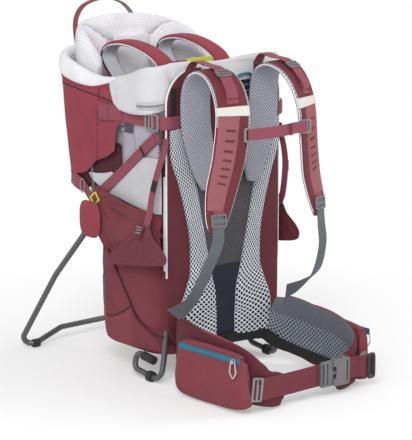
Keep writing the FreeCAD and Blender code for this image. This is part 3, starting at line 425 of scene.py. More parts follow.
def coatedMetal(name, colour, roughness=0.38, metallic=0.55):
    # Coated metal: its shade and its roughness drift together.
    material, tree, shader = newMaterial(name, roughness, metallic)
    tone, drift = drifting(tree, paint(*colour), 0.88, 30, 4.0)
    feed(tree, shader.inputs["Base Color"], tone)
    rough = spread(tree, drift, 0.0, 1.0, roughness - 0.06, roughness + 0.08)
    feed(tree, shader.inputs["Roughness"], rough)
    feed(tree, shader.inputs["Normal"], bumped(tree, cloudy(tree, 900, 2.0), 0.00004, 0.5))
    return material


# Painted shade: the near-black colour inside the spacer mesh's holes.
holeShade = (18, 19, 25)
nearBlack = (38, 38, 40)

redCloth = wovenFabric("redCloth", (149, 61, 75))
darkCloth = wovenFabric("darkCloth", (112, 50, 60), folds=0.002)
deepCloth = wovenFabric("deepCloth", (78, 34, 44), folds=0.002)
# Partly painted shade: the board's own dark red, darkened further for the shade along its sides.
shadedBoardCloth = wovenFabric("shadedBoardRed", (102, 42, 54), folds=0.001)
bagCloth = wovenFabric("bagCloth", (124, 56, 66), folds=0.002)
# Painted shade: the pocket cloth darkened for the wings' outer faces.
shadedWingCloth = wovenFabric("shadedWingCloth", (98, 40, 52), folds=0.0016)
padCloth = wovenFabric("padCloth", (113, 48, 57))
pocketCloth = wovenFabric("pocketCloth", (134, 62, 72), folds=0.0016)
paleCloth = wovenFabric("paleCloth", (213, 213, 216), folds=0.0014, shade=0.93)
# Painted shade: the pale cloth darkened for the side cloths below the cockpit.
shadedPaleCloth = wovenFabric("shadedPaleCloth", (199, 198, 202), folds=0.0014, shade=0.92)
lumbarCloth = wovenFabric("lumbarCloth", (38, 42, 52))
blackTrim = wovenFabric("blackTrim", nearBlack)
zipTape = wovenFabric("greyTape", (204, 205, 206), folds=0.0004)
redWebbing = webbing("redWebbing", (141, 71, 87))
# Painted shade: the red webbing darkened, for the hip belt and the stirrups' loops.
beltWebbing = webbing("beltWebbing", (110, 47, 59))
greyWebbing = webbing("greyWebbing", (96, 101, 106))
tealWebbing = webbing("tealWebbing", (48, 108, 130))
bandCloth = webbing("bandCloth", (222, 220, 214), rib=0.0012)
whiteBinding = webbing("whiteBinding", (240, 240, 243), rib=0.001)
handleRed = webbing("handleRed", (140, 66, 74), rib=0.0016)
handleGrey = webbing("handleGrey", (132, 130, 130), rib=0.0016)
zipTeeth = webbing("zipTeeth", (140, 143, 142), rib=0.0016)
tealTeeth = webbing("tealTeeth", (66, 122, 142), rib=0.0016)
openMesh = holedMesh("openMesh", (216, 220, 227), holeShade, (0.0102, 0.0084), 0.35, 0.0012)
wingMesh = holedMesh("wingMesh", (142, 148, 158), holeShade, (0.0096, 0.008), 0.31, 0.0012)
wingTopMesh = holedMesh("wingTopMesh", (118, 121, 129), (52, 54, 62), (0.0052, 0.0045), 0.28, 0.0007)
padMesh = holedMesh("greyMesh", (171, 171, 181), (62, 64, 76), (0.0074, 0.006), 0.27, 0.0009)
pinkMesh = holedMesh("pinkMesh", (163, 104, 110), (122, 44, 56), (0.0056, 0.0046), 0.28, 0.0006)
netCloth = holedMesh("netCloth", (98, 95, 97), (38, 42, 52), (0.011, 0.0042), 0.34, 0.0006)
rimMesh = holedMesh("rimMesh", (240, 240, 243), (206, 206, 212), (0.0068, 0.006), 0.18, 0.0005)
# Painted shade: the white mesh darkened for the lining and the seat inside the cockpit.
shadedInnerMesh = holedMesh("shadedInnerMesh", (194, 188, 199), (112, 106, 122), (0.0066, 0.0058), 0.26, 0.0008)
restMesh = holedMesh("restMesh", (238, 237, 241), (176, 176, 190), (0.0066, 0.0058), 0.22, 0.0008)
archMesh = holedMesh("greyMeshSoft", (196, 196, 204), (130, 130, 142), (0.006, 0.0052), 0.24, 0.0006)
silverPlastic = mouldedPlastic("silverPlastic", (132, 131, 131), 0.36)
bucklePlastic = mouldedPlastic("bucklePlastic", (107, 106, 108))
blackPlastic = mouldedPlastic("blackPlastic", nearBlack, 0.5)
blackRubber = mouldedPlastic("blackRubber", nearBlack, 0.72, 0.00012)
yellowPlastic = mouldedPlastic("yellowPlastic", (205, 206, 52), 0.4)
cordPlastic = mouldedPlastic("cordPlastic", (190, 190, 188), 0.5)
tubeMetal = coatedMetal("tubeMetal", (96, 95, 98))
pinMetal = coatedMetal("pinMetal", (150, 150, 152), 0.3, 0.9)
zipMetal = coatedMetal("zipMetal", (200, 200, 204), 0.22, 1.0)
print("materials made:", len(bpy.data.materials))

# The rigid pieces keep their solids and get their finishes.
rigidFinishes = {
    tubeMetal: ["main_frame", "kickstand", "cockpit_hoop"],
    pinMetal: ["hinge_pins"],
    zipMetal: ["zip_slider_left", "zip_slider_right"],
    cordPlastic: ["zip_pull_left", "zip_pull_right"],
    silverPlastic: ["belt_triglides", "side_strap_locks", "sternum_hook", "sternum_lock"],
    bucklePlastic: ["buckle_socket", "buckle_plug", "buckle_prong_upper", "buckle_prong_lower",
                    "strap_locks", "lifter_buckles"],
    blackPlastic: ["hinge_brackets", "height_ladders"],
    blackRubber: ["frame_sleeves", "skid_feet", "kickstand_feet"],
    yellowPlastic: ["child_buckle", "leg_hooks"],
}
for finish, names in rigidFinishes.items():
    for name in names:
        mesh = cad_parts[name].data
        mesh.materials.clear()
        mesh.materials.append(finish)
print("rigid pieces finished")


# Padded red cover over the back board, white piping and bands at its sides, sleeves on the uprights.
boardCover = {
    "width": 296, "bottom": 64, "top": 640, "corner": 70, "puff": 4.8,
    "wave": 0.5, "folds": (3, 1.2, 3), "foldLength": 40,
    "pipe": 2.0, "pipeFrom": 222, "band": (236, 428), "bandHalf": (3.4, 1.2),
    "sleeve": (112, 528), "sleeveAt": (139, 11.3), "sleeveRadius": 8.5,
}


def coverHalfWidth(heights):
    # Half the board's width at each height, less the bite of its round corners.
    d = boardCover
    inset = np.minimum(np.minimum(heights - d["bottom"], d["top"] - heights), d["corner"])
    bite = d["corner"] - np.sqrt(np.maximum(d["corner"] ** 2 - (d["corner"] - inset) ** 2, 0))
    return d["width"] / 2 - bite


def makeBoardCover():
    # A pillow section as wide as the board, carried up it in steps that are finer at both ends.
    d = boardCover
    ease = (1 - np.cos(np.linspace(0, math.pi, 90))) / 2
    heights = d["bottom"] + 0.6 + (d["top"] - d["bottom"] - 1.2) * ease
    grid = carry(points(0, 0.6, heights), (1, 0, 0), pillow(64, 7.0), coverHalfWidth(heights), d["puff"])
    grid[..., 1] += d["wave"] * ripple(d["folds"], *(grid[..., axis] / d["foldLength"] for axis in (0, 2)))
    dress(roll("board_cover", grid), "carrier", shadedBoardCloth, stands=["back_board"], slot="board_fabric",
          fill=0.3)
    heights = np.linspace(d["pipeFrom"], d["top"] - 2, 80)
    trim = [tubeAlong("pipe", points(side * (coverHalfWidth(heights) + 0.6), -0.6, heights), d["pipe"])
            for side in (-1, 1)]
    heights = np.linspace(*d["band"], 60)
    for side in (-1, 1):
        edge = points(side * (coverHalfWidth(heights) + 0.4), 5.0, heights)
        trim.append(roll("band", carry(edge, (0, 1, 0), pillow(16, 5.0), *d["bandHalf"])))
    dress(joined("board_piping", trim), "carrier", whiteBinding, slot="spacer_mesh")
    x, y = d["sleeveAt"]
    heights = np.linspace(*d["sleeve"], 60)
    for side, name in ((1, "left"), (-1, "right")):
        sleeve = tubeAlong("upright_sleeve_" + name, points(side * x, y, heights), d["sleeveRadius"], 20)
        dress(sleeve, "carrier", shadedBoardCloth, slot="board_fabric")


makeBoardCover()


# Spacer-mesh pads down both sides of the back, and the cloths of the window between them.
backStrips = {
    "inner": [(24, 70), (24, 130), (27, 178), (40, 225), (50, 270), (64, 336), (80, 410), (103, 470),
              (112, 524)],
    "outer": [(114, 70), (121, 100), (124, 128), (119, 150), (110, 172), (101, 198), (93, 225), (93, 290),
              (104, 350), (122, 415), (141, 468), (143, 524)],
    "heights": (72, 523), "ends": (64, 530), "taper": 14, "depth": 6.8, "thickness": 5.6,
    "cloths": [("lumbar_cloth", 84, 231, lumbarCloth, "lumbar_panel", 7.6, 1.5),
               ("centre_net", 223, 440, netCloth, "centre_mesh", 6.6, 1.0)],
}


def stripEdges(heights):
    # Inner and outer edges of a strip at each height, read from smooth curves.
    curves = [smoothPath(backStrips[key], 200) for key in ("inner", "outer")]
    return [np.interp(heights, curve[:, 1], curve[:, 0]) for curve in curves]


def makeStrips():
    # A pillow section between the strip's edges, thinner near both ends.
    d = backStrips
    heights = np.linspace(*d["heights"], 124)
    inner, outer = stripEdges(heights)
    low, high = d["ends"]
    thin = np.clip(np.minimum(heights - low, high - heights) / d["taper"], 0.4, 1)
    grid = carry(points((inner + outer) / 2, -d["depth"], heights), (-1, 0, 0), pillow(40, 4.0),
                 (outer - inner) / 2, d["thickness"] * thin)
    dressPair(roll("mesh_strip_left", grid), openMesh, stands=["mesh_strips"], slot="spacer_mesh", fill=0.5)


def makeWindow():
    # Thin cloths stretched between the strips; their depth sags by a parabola to the middle.
    across = np.linspace(-1, 1, 41)
    for name, low, high, material, node, depth, sag in backStrips["cloths"]:
        heights = np.linspace(low, high, 60)[:, None]
        x = (stripEdges(heights)[0] + 4) * across
        piece = sheet(name, points(x, -depth + sag * (1 - across**2), heights), 1.2)
        dress(piece, "carrier", material, stands=[node])


makeStrips()
makeWindow()
print("back system made")


# Hip wings, foam inside spacer mesh and red cloth outside. Rows run from root to tip: (x, y, low, high).
hipWing = {
    "line": [(118.5, -4.2, 60, 146), (135, -27, 32, 148), (146, -62, 24, 146), (150, -110, 20, 140),
             (150, -165, 18, 136), (144, -215, 13, 126), (135, -243, 12, 106), (122, -256, 12, 88),
             (104, -260.5, 8, 78), (86, -261.5, 5, 74), (73, -261, 7, 68), (67, -261, 16, 56)],
    "thickness": 6.6, "sides": 48, "split": 0.1, "inside": 0.12, "lowEdge": -0.7, "edgeRows": 70,
    "piping": 2.6, "pipingRows": (34, -14),
}


def makeWing():
    # A pillow section on edge, carried along the wing; its faces take a material by the way they look.
    d = hipWing
    x, y, low, high = smoothPath(d["line"], 120).T
    path, half = points(x, y, (low + high) / 2), (high - low) / 2
    grid = carry(path, (0, 0, 1), pillow(d["sides"], 3.4), half, d["thickness"])
    angle = 2 * math.pi * (np.arange(d["sides"]) + 0.5) / d["sides"]

    def part(i, j):
        upper = np.where(np.cos(angle[j]) > d["split"], 2, 0)
        side = np.where(np.sin(angle[j]) > d["inside"], upper, 1)
        return np.where((np.cos(angle[j]) < d["lowEdge"]) & (i < d["edgeRows"]), 3, side)

    # The wings' outer faces take the darkened pocket cloth: painted shade.
    dressPair(roll("hip_wing_cover_left", grid, part), wingMesh, shadedWingCloth, wingTopMesh, blackTrim,
              stands=["hip_wing_left"], slot="spacer_mesh", fill=0.6)
    top = path + points(0, 0, half - 1.0)
    piping = tubeAlong("wing_piping_left", top[slice(*d["pipingRows"])], d["piping"])
    dressPair(piping, redWebbing, slot="red_fabric")


makeWing()


# Hip pockets: pouches on the wings' outer faces. Rows: (y, inner x, outer x, low, high).
hipPocket = {
    "sections": [(-54, 157, 164, 40, 108), (-62, 157, 172, 24, 115), (-80, 158, 181.4, 10, 119),
                 (-115, 158, 179.4, 4.6, 121), (-170, 158, 176.4, 4.6, 122), (-225, 153, 173, 6, 118),
                 (-246, 148, 171, 10, 112), (-258, 145, 161, 24, 103)],
    "swell": 0.9, "folds": (11, 1.0, 3), "foldLength": 30,
}


def makePockets():
    # A pillow section between each row's limits; the outer face swells with soft folds.
    d = hipPocket
    y, inner, outer, low, high = smoothPath(d["sections"], 90).T
    sections = sized(pillow(56, 4.6), ((high - low) / 2)[:, None], ((outer - inner) / 2)[:, None])
    grid = carry(points((inner + outer) / 2, y, (low + high) / 2), (0, 0, 1), sections)
    folds = ripple(d["folds"], grid[..., 1] / d["foldLength"], grid[..., 2] / d["foldLength"])
    grid[..., 0] += d["swell"] * folds * np.clip(sections[..., 1] / 6, -1, 1)
    dressPair(roll("hip_pouch_left", grid), pocketCloth, stands=["hip_pocket_left"],
              slot="dark_red_fabric", fill=0.5)


makePockets()


def strap(name, stations, thickness, *materials, body="carrier", reference=(1, 0, 0), count=60, **options):
    # Flat webbing with rounded edges through stations: (x, y, z, width, and sideways direction if given).
    rows = [(*station[:4], *(station[4] if len(station) > 4 else reference)) for station in stations]
    steps = smoothPath(rows, count)
    sections = sized(pillow(20, 8.0), steps[:, 3:4] / 2, thickness / 2)
    return dress(roll(name, carry(steps[:, :3], steps[:, 4:7], sections)), body, *materials, **options)


def strapPair(name, stations, thickness, material, body="carrier", slot="grey_webbing", **options):
    # The same webbing on both sides, made on the left and mirrored.
    left = strap(name + "_left", stations, thickness, material, body=body, slot=slot, **options)
    dress(mirrored(left, name + "_right"), body, slot=slot)


# Shoulder pads. Rows up the back, over the shoulder and down the chest: (x, y, z, width, turn). Stations
# count the rows; patches are (from, to, low share, high share, lift, wall), and a bar's starts at low share.
shoulderPad = {
    "line": [(60, -20, 398, 26, 0), (66, -20.5, 430, 54, 0), (78, -20.5, 480, 68, 0), (88, -20.5, 530, 74, 0),
             (90, -21, 588, 74, 0), (89, -32, 624, 72, 0), (88, -62, 641, 70, 5), (90, -100, 632, 70, 12),
             (93, -128, 602, 70, 17), (97, -142, 556, 70, 20), (106, -140, 480, 68, 20),
             (119, -134, 420, 64, 18), (132, -136, 368, 50, 14), (137, -137, 338, 28, 12)],
    "half": 6.6, "square": 2.9, "seam": -0.34, "seamDepth": 0.32, "seamWidth": 0.07, "seamTo": 13.4,
    "seamRise": 6, "meshFrom": 8.86, "meshTo": 11.75, "meshShare": 0.9, "edgeShare": 0.88, "edgeTo": 9.2,
    "facingFrom": 5.2, "facing": 0.1, "band": (8.52, 8.86, -0.995, 0.995, 0.9, 1.4),
    "tab": (11.72, 12.45, -0.42, 0.42, 0.6, 1.6), "bar": (-0.12, 0.42, 0.5, 1.0), "barLong": 0.055,
    "bars": (9.25, 10.75), "barCount": 7, "binding": (5.3, 12.7), "bindingShare": 0.985, "bindingDrop": 1.5,
    "bindingRadius": 1.2,
}


def padFrame(t):
    # Centre, sideways and outward directions, and half-width of the left pad at station t.
    rows = np.array(shoulderPad["line"], float)
    fine = smoothPath(rows, 600)
    marks = np.linspace(0, len(rows) - 1, 600)
    heading = unit(np.gradient(fine[:, :3], axis=0))
    turn = np.radians(fine[:, 4])
    side = points(np.cos(turn), np.sin(turn), 0)
    side = unit(side - (side * heading).sum(1, keepdims=True) * heading)
    out = np.cross(heading, side)

    def read(values):
        return np.stack([np.interp(t, marks, column) for column in values.T], -1)
    return read(fine[:, :3]), read(side), read(out), np.interp(t, marks, fine[:, 3]) / 2


def padFace(t, share, lift=0.0):
    # Points on the pad's outer face at station t and at a share of its half-width.
    d = shoulderPad
    centre, side, out, half = padFrame(t)
    crown = np.maximum(1 - np.abs(share) ** d["square"], 0) ** (1 / d["square"])
    height = (d["half"] * crown + lift) * np.ones_like(half)[:, None]
    return (centre[:, None] + side[:, None] * (share * half[:, None])[..., None]
            + out[:, None] * height[..., None])


def padPatch(name, start, end, low, high, lift, wall, material, rows=16, columns=24):
    # A sewn-on patch that follows the outer face between two stations and two shares.
    share = np.linspace(low, high, columns)[None, :]
    patch = sheet(name, padFace(np.linspace(start, end, rows), share, lift), wall)
    patch.data.materials.append(material)
    return patch


def makeShoulderPads():
    # A pillow section along the pad, with the chest's sewn groove, and patches sewn on its outer face.
    d = shoulderPad
    t = np.linspace(0, len(d["line"]) - 1, 190)
    centre, side, out, half = padFrame(t)
    section = pillow(56, d["square"])
    groove = hump(section[:, 0] - d["seam"], d["seamWidth"]) * (section[:, 1] > 0)
    onLimb = np.clip(np.minimum(t - d["meshFrom"], d["seamTo"] - t) * d["seamRise"], 0, 1)
    high = d["half"] * (1 - d["seamDepth"] * groove[None] * onLimb[:, None])
    sections = sized(section, half[:, None], high)
    grid = centre[:, None] + side[:, None] * sections[..., 0:1] + out[:, None] * sections[..., 1:2]
    share, facing = faceMiddle(section[:, 0]), faceMiddle(section[:, 1])

    def part(i, j):
        onMesh = ((t[i] > d["meshFrom"]) & (t[i] < d["meshTo"])
                  & (share[j] > d["seam"]) & (share[j] < d["meshShare"]))
        edge = (np.abs(share[j]) > d["edgeShare"]) & (t[i] < d["edgeTo"])
        outer = (facing[j] > d["facing"]) & (t[i] > d["facingFrom"])
        return np.where(outer, np.where(edge, 2, np.where(onMesh, 1, 0)), 2)

    dressPair(roll("shoulder_pad_cover_left", grid, part), padCloth, pinkMesh, padMesh,
              stands=["shoulder_pad_left"], slot="pad_fabric", fill=0.6)
    band = padPatch("pad_band_left", *d["band"], bandCloth)
    # The bars' dark cloth is painted shade: it stands for the shade in the pad's slits.
    bars = [padPatch("bar", at, at + d["barLong"], *d["bar"], darkCloth, 4, 8)
            for at in np.linspace(*d["bars"], d["barCount"])]
    tab = padPatch("pad_tab_left", *d["tab"], redWebbing, 16, 12)
    t = np.linspace(*d["binding"], 120)
    edges = []
    for side in (1, -1):
        edge = padFace(t, np.full((1, 1), side * d["bindingShare"]), -d["bindingDrop"])[:, 0]
        edges.append(tubeAlong("edge", edge, d["bindingRadius"], 8))
    binding = joined("pad_binding_left", edges)
    binding.data.materials.append(whiteBinding)
    for piece, slot in ((band, "pale_fabric"), (joined("pad_bars_left", bars), "pad_fabric"),
                        (tab, "red_webbing"), (binding, "spacer_mesh")):
        dressPair(piece, slot=slot)


makeShoulderPads()
print("shoulder pads made")


def padStation(t, lift, width=24.0):
    # A strap station above the middle of the pad's face, with the pad's own sideways direction.
    at = np.array([t])
    return (*padFace(at, np.zeros((1, 1)), lift)[0, 0], width, padFrame(at)[1][0])


# Load lifters, each with its fold and its sewn tab. Rows on the pad are (station, lift).
lifter = {
    "back": [(90, -1.4, 612, 24), (90, -3.4, 636, 24), (89, -22, 657, 24)],
    "over": [(5.9, 7.4), (6.6, 6.8), (7.2, 5.6), (7.75, 4.4), (8.1, 3.8)],
    "fold": [(7.62, 6.4), (7.86, 7.6), (8.1, 6.4), (8.2, 4.4)],
    "tab": [(7.9, 1.4), (8.1, 1.3), (8.4, 1.0)],
}


def makeLifters():
    # From the board's top to the pads' locks, over the pads' own stations.
    over, fold, tab = ([padStation(*row) for row in lifter[key]] for key in ("over", "fold", "tab"))
    red = {"material": redWebbing, "slot": "red_webbing"}
    strapPair("load_lifter", lifter["back"] + over, 2.0, stands=["load_lifters"], **red)
    strapPair("lifter_fold", fold, 1.8, count=24, **red)
    strapPair("lifter_tab", tab, 1.6, count=20, **red)


# Sternum strap: webbing from pad to pad, with a keeper for its loose end. Rows: (x, depth, rise).
sternum = {
    "face": -163.15, "height": 528, "width": 23,
    "line": [(-77, -1.6, 0), (-70, -1.6, 0), (-60, -0.4, -0.5), (-30, 0, -2), (10, 0, -2), (50, -0.3, 0),
             (64, -1.8, 0), (76, -2.4, 0)],
    "keeper": [(31, -1.9, -1.4), (38, -1.9, -1)],
}


def makeSternumStrap():
    # Both pieces run through their rows, set off from the strap's face and height.
    d = sternum
    options = {"body": "sternum_strap", "slot": "red_webbing", "reference": (0, 0, 1)}

    def stations(rows, width):
        return [(x, d["face"] + depth, d["height"] + rise, width) for x, depth, rise in rows]
    strap("sternum_webbing", stations(d["line"], d["width"]), 1.8, redWebbing, stands=["sternum_strap"],
          **options)
    strap("sternum_keeper", stations(d["keeper"], d["width"] + 1), 1.4, darkCloth, count=8, **options)


def makeLimbStraps():
    # Grey webbing from each pad's ladder lock down to the belt.
    across = (0.97, 0.24, 0)
    line = [(135.2, -142.6, 372, 25, across), (135.4, -146, 358, 25, across),
            (135.5, -144.5, 349, 25, across), (137.5, -145.5, 318, 25, across), (152, -134, 270, 26, across),
            (162, -104, 208, 28, (0.95, 0.1, 0.28)), (159, -62, 172, 31, (0.74, 0.1, 0.66)),
            (151, -26, 152, 34, (0.6, 0.1, 0.8))]
    strapPair("limb_webbing", line, 1.9, greyWebbing, stands=["strap_webbing"], count=90)


# Hip belt: its webbing, the dark binding along its lower inner edge, and the lock on its loose end.
# Webbing rows are (x, depth, rise) from the belt's front, and in the tail also the change of width.
hipBelt = {
    "front": -270, "height": 50, "width": 45, "thickness": 2.0,
    "left": [(151, 6.9, 2), (141, 3.4, 1), (131, 0, 0), (112, 0, 0), (94.4, 0, 0)],
    "right": [(-151, 6.9, 2), (-141, 3.4, 1), (-131, 0, 0), (-60, 0, -1), (25, 0, 0)],
    "tail": [(94.4, -2.1, 0, -2), (118, -2.2, 0, -2), (129, -6.4, -1, -3), (146, -6.8, -2, -3),
             (160, -6.4, -3, -3)],
    "band": [(2, -9.4, 73, 22), (60, -10.6, 71, 22), (98, -12.4, 67, 22), (114, -16, 60, 22),
             (127, -33, 46, 22), (138, -64, 37, 22), (142.2, -110, 32, 22), (142.2, -165, 30, 20),
             (136.6, -212, 27, 18), (129.5, -236, 26, 16)],
    "lock": (154, -9.0, -3), "lockHalf": (8, 24), "lockRadius": 3.0,
    "lockBars": (150.5, 157.5), "barDepth": -9.6, "barSpan": (-26, 20), "barRadius": 1.6,
}


def makeBeltWebbing():
    # Two runs to the buckle, and a tail that turns back over the left one.
    d = hipBelt
    front, height = d["front"], d["height"]
    for end in ("left", "right", "tail"):
        stations = [(x, front + y, height + z, d["width"] + sum(change)) for x, y, z, *change in d[end]]
        strap("belt_webbing_" + end, stations, d["thickness"], beltWebbing, reference=(0, 0, 1),
              stands=["belt_webbing"] if end == "left" else (), slot="red_webbing")


def makeBeltLock():
    # A ring of squared section shape round the tail, crossed by two bars.
    d = hipBelt
    front, height = d["front"], d["height"]
    across, up = pillow(60, 6.0).T
    (x, depth, rise), (wide, high) = d["lock"], d["lockHalf"]
    ring = points(x + wide * across, front + depth, height + rise + high * up)
    parts = [tubeAlong("ring", ring, d["lockRadius"], closed=True)]
    for x in d["lockBars"]:
        bar = points(x, front + d["barDepth"], height + np.linspace(*d["barSpan"], 8))
        parts.append(tubeAlong("bar", bar, d["barRadius"], 8))
    dress(joined("belt_end_lock", parts), "carrier", blackPlastic, slot="black_plastic")


strapPair("belt_band", hipBelt["band"], 1.6, blackTrim, reference=(0, 0, 1), slot="lumbar_fabric", count=80)
makeLifters()
makeSternumStrap()
makeLimbStraps()
makeBeltWebbing()
makeBeltLock()
print("webbing made")


# Storage bag: rings from the bottom up, each (height, half-width, front, rear, corner).
bag = {
    "rings": [(48.5, 120, 34, 196, 40), (49.5, 132, 28, 208, 46), (56, 146, 22, 225, 50),
              (70, 151, 19.6, 232, 50), (120, 153, 19.2, 236, 50), (220, 153.6, 19.2, 237.6, 50),
              (300, 153.6, 19.2, 232, 50), (340, 153.6, 19.2, 227, 50), (344.6, 150, 22, 222, 50)],
    "middle": 128, "fold": 2.2, "folds": (5, 1.1, 4), "foldTurn": 2.2, "foldLengths": (90, 70),
    "foot": (50, 30), "rim": (346, -16, 0.2), "board": (20, 20), "side": (110, 20),
    "swing": 0.9, "swingFrom": 190, "swingLengths": (7.5, 16), "swingMiddle": 150, "swingReach": 90,
    "curveDepth": 2.6, "hemDepth": 1.6, "seamWidth": 3.2,
    "curve": [(189, 256), (172, 231), (151, 203), (118, 158), (90, 122), (50, 104), (8, 98)],
    "hem": [(236, 130), (200, 113), (177, 110), (140, 126), (113, 143)],
    "pipes": [("curve", 2.4), ("low", 1.2)], "pipeEnd": 192,
    "pipeX": [(96, 152.6), (130, 153), (240, 152.4), (352, 151)],
}


def seamMark(y, z, line, width):
    # 1 on a seam drawn in a side's (depth, height) plane, fading out over its width.
    path = smoothPath(line, 60)
    return hump(np.min(np.hypot(y[..., None] - path[:, 0], z[..., None] - path[:, 1]), axis=-1), width)


def roundedLoop(half, front, rear, corner, share):
    # A rectangle in plan with round corners, read at shares of a turn from its rear middle: five
    # straight runs (even numbers), with a quarter turn (odd numbers) between each two.
    wide, deep = half - corner, (rear - front) / 2 - corner
    bend = corner * math.pi / 2
    at = share * (4 * (wide + deep + bend))
    start, x, y = 0 * at, 0 * at, 0 * at
    centres = ((1, 1), (1, -1), (-1, -1), (-1, 1))
    for number, step in enumerate((wide, bend, 2 * deep, bend, 2 * wide, bend, 2 * deep, bend, wide)):
        run = at - start
        if number % 2:
            sx, sy = centres[number // 2]
            turn = run / corner + number // 2 * math.pi / 2
            px, py = sx * wide + corner * np.sin(turn), sy * deep + corner * np.cos(turn)
        else:
            px = (run, wide + corner, wide - run, -wide - corner, run - wide)[number // 2]
            py = (deep + corner, deep - run, -deep - corner, run - deep, deep + corner)[number // 2]
        inside = (run >= 0) & (at < start + step)
        x, y = np.where(inside, px, x), np.where(inside, py, y)
        start = start + step
    return x, y + (front + rear) / 2


def makeBag():
    # Rings of a rounded plan, each point drawn towards the middle by folds and by the sides' seams.
    d = bag
    height, half, front, rear, corner = smoothPath(d["rings"], 150).T[..., None]
    share = (np.arange(320) + 0.5)[None, :] / 320
    x, y = roundedLoop(half, front, rear, corner, share)
    height = height + 0 * share
    around = np.unwrap(np.arctan2(y - d["middle"], x), axis=1)
    slant, rise = d["foldLengths"]
    slope = ripple(d["folds"], around * d["foldTurn"] + height / slant, height / rise)
    depth = ramp(height, *d["foot"]) * ramp(height, *d["rim"])
    fold = -d["fold"] * (0.5 + 0.5 * slope) * depth * ramp(y, *d["board"])
    up, back = d["swingLengths"]
    swing = np.sin(height / up + y / back)
    swing = swing * ramp(np.abs(y - d["swingMiddle"]), d["swingReach"], -d["swingReach"])
    curve = d["curveDepth"] * seamMark(y, height, d["curve"], d["seamWidth"])
    hem = d["hemDepth"] * seamMark(y, height, d["hem"], d["seamWidth"])
    loose = d["swing"] * (1 + swing) * depth * (height > d["swingFrom"])
    fold = fold - (curve + hem + loose) * ramp(np.abs(x), *d["side"])
    grow = 1 + fold / np.hypot(x, y - d["middle"])
    grid = points(x * grow, d["middle"] + (y - d["middle"]) * grow, height)
    hemHeight = np.interp(grid[..., 1], *smoothPath(d["hem"][::-1], 60).T)
    lower = (height < hemHeight) & (grid[..., 1] > d["hem"][-1][0])

    def part(i, j):
        return np.where(lower[i, j], 1, 0)

    dress(roll("bag_body", grid, part), "carrier", bagCloth, pocketCloth, stands=["storage_bag"],
          slot="dark_red_fabric", fill=0.3)
    for (name, radius), line in zip(d["pipes"], (d["curve"], d["hem"])):
        y, z = smoothPath(line, 80).T
        kept = y < d["pipeEnd"]
        seam = points(readAt(z[kept], d["pipeX"]), y[kept], z[kept])
        dressPair(tubeAlong(f"bag_seam_{name}_left", seam, radius), deepCloth, slot="dark_red_fabric")


makeBag()


# Cloth that wraps the frame's rails above the bag, between the board and the hinges.
railCloth = {
    "top": [(206, 384), (177, 378), (121, 366), (80, 359), (40, 353), (16, 352)],
    "foot": [(192, 258), (150, 240), (100, 236), (60, 240), (16, 262)],
    "depths": [(14, 150), (40, 163), (70, 171.5), (120, 173.4), (198, 173.8)],
    "tuck": 23, "tuckSpan": (285, -45), "hinge": (206, 356), "tube": (305, 19), "wall": 1.4, "inset": 0.4,
    "fans": [(2.4, 11, 1.1, 0), (1.4, 19, -1, 1.3)], "fanLength": 60, "looseFrom": (236, 18), "fold": 1.7,
    "folds": (91, 1.0, 4), "foldLength": 26, "foldDepth": 1.2,
}


def between(upper, lower, rows, columns):
    # A net of (depth, height) points in straight lines from one edge's curve to the other's.
    v = np.linspace(0, 1, columns)[None, :, None]
    return smoothPath(upper, rows)[:, None, :] * (1 - v) + smoothPath(lower, rows)[:, None, :] * v


def makeRailCloth():
    # A cloth between two edges, tucked in at its foot; folds fan out inwards from the hinge, but not
    # where the cloth lies on the rail's tube.
    d = railCloth
    y, z = np.moveaxis(between(d["top"], d["foot"], 110, 80), -1, 0)
    x = readAt(y, d["depths"]) - d["tuck"] * ramp(z, *d["tuckSpan"]) ** 1.6
    hingeY, hingeZ = d["hinge"]
    fan = np.arctan2(z - hingeZ, y - hingeY)
    away = np.hypot(z - hingeZ, y - hingeY) / d["fanLength"]
    folds = sum(depth * np.sin(fan * rate + phase + drift * away) for depth, rate, drift, phase in d["fans"])
    folds = folds + d["foldDepth"] * ripple(d["folds"], y / d["foldLength"], z / d["foldLength"])
    loose = ramp(away, 0, 1) * ramp(z, *d["looseFrom"])
    tubeAt, tubeReach = d["tube"]
    offTube = 1 - np.exp(-(((z - tubeAt) / tubeReach) ** 4))
    x = x - (d["fold"] * np.abs(folds) * loose + d["inset"]) * offTube
    dressPair(sheet("rail_cloth_left", points(x, y, z), d["wall"]), bagCloth, slot="dark_red_fabric")


makeRailCloth()
print("bag made")


# Cockpit shell: red cloth round the child's seat, drawn on a U in plan that narrows downwards.
cockpit = {
    "half": 176, "front": 108, "rear": 350, "corner": 64, "bottom": 376, "top": 585,
    "narrow": 6, "drawIn": 24,
    "lowEdge": [(106, 533), (116, 524), (127, 516), (134, 492), (138, 466), (165, 450), (204, 437),
                (225, 420), (243, 408), (285, 398), (350, 398)],
    "highEdge": [(108, 548), (118, 590), (130, 606), (157, 600), (219, 590), (280, 596), (310, 604),
                 (350, 606)],
    "middle": 180, "wall": 2.0, "fold": 1.6, "folds": (21, 1.3, 4), "foldRates": (26.4, 1.5, 2.0),
    "length": 781, "seam": 182, "seamSlope": 0.14, "crossSeam": 562, "crossSlope": 0.12,
    "seamWidths": (2.2, 2.0), "seamDepth": 1.5, "seamShadeFrom": 0.45, "hem": 1.4,
}


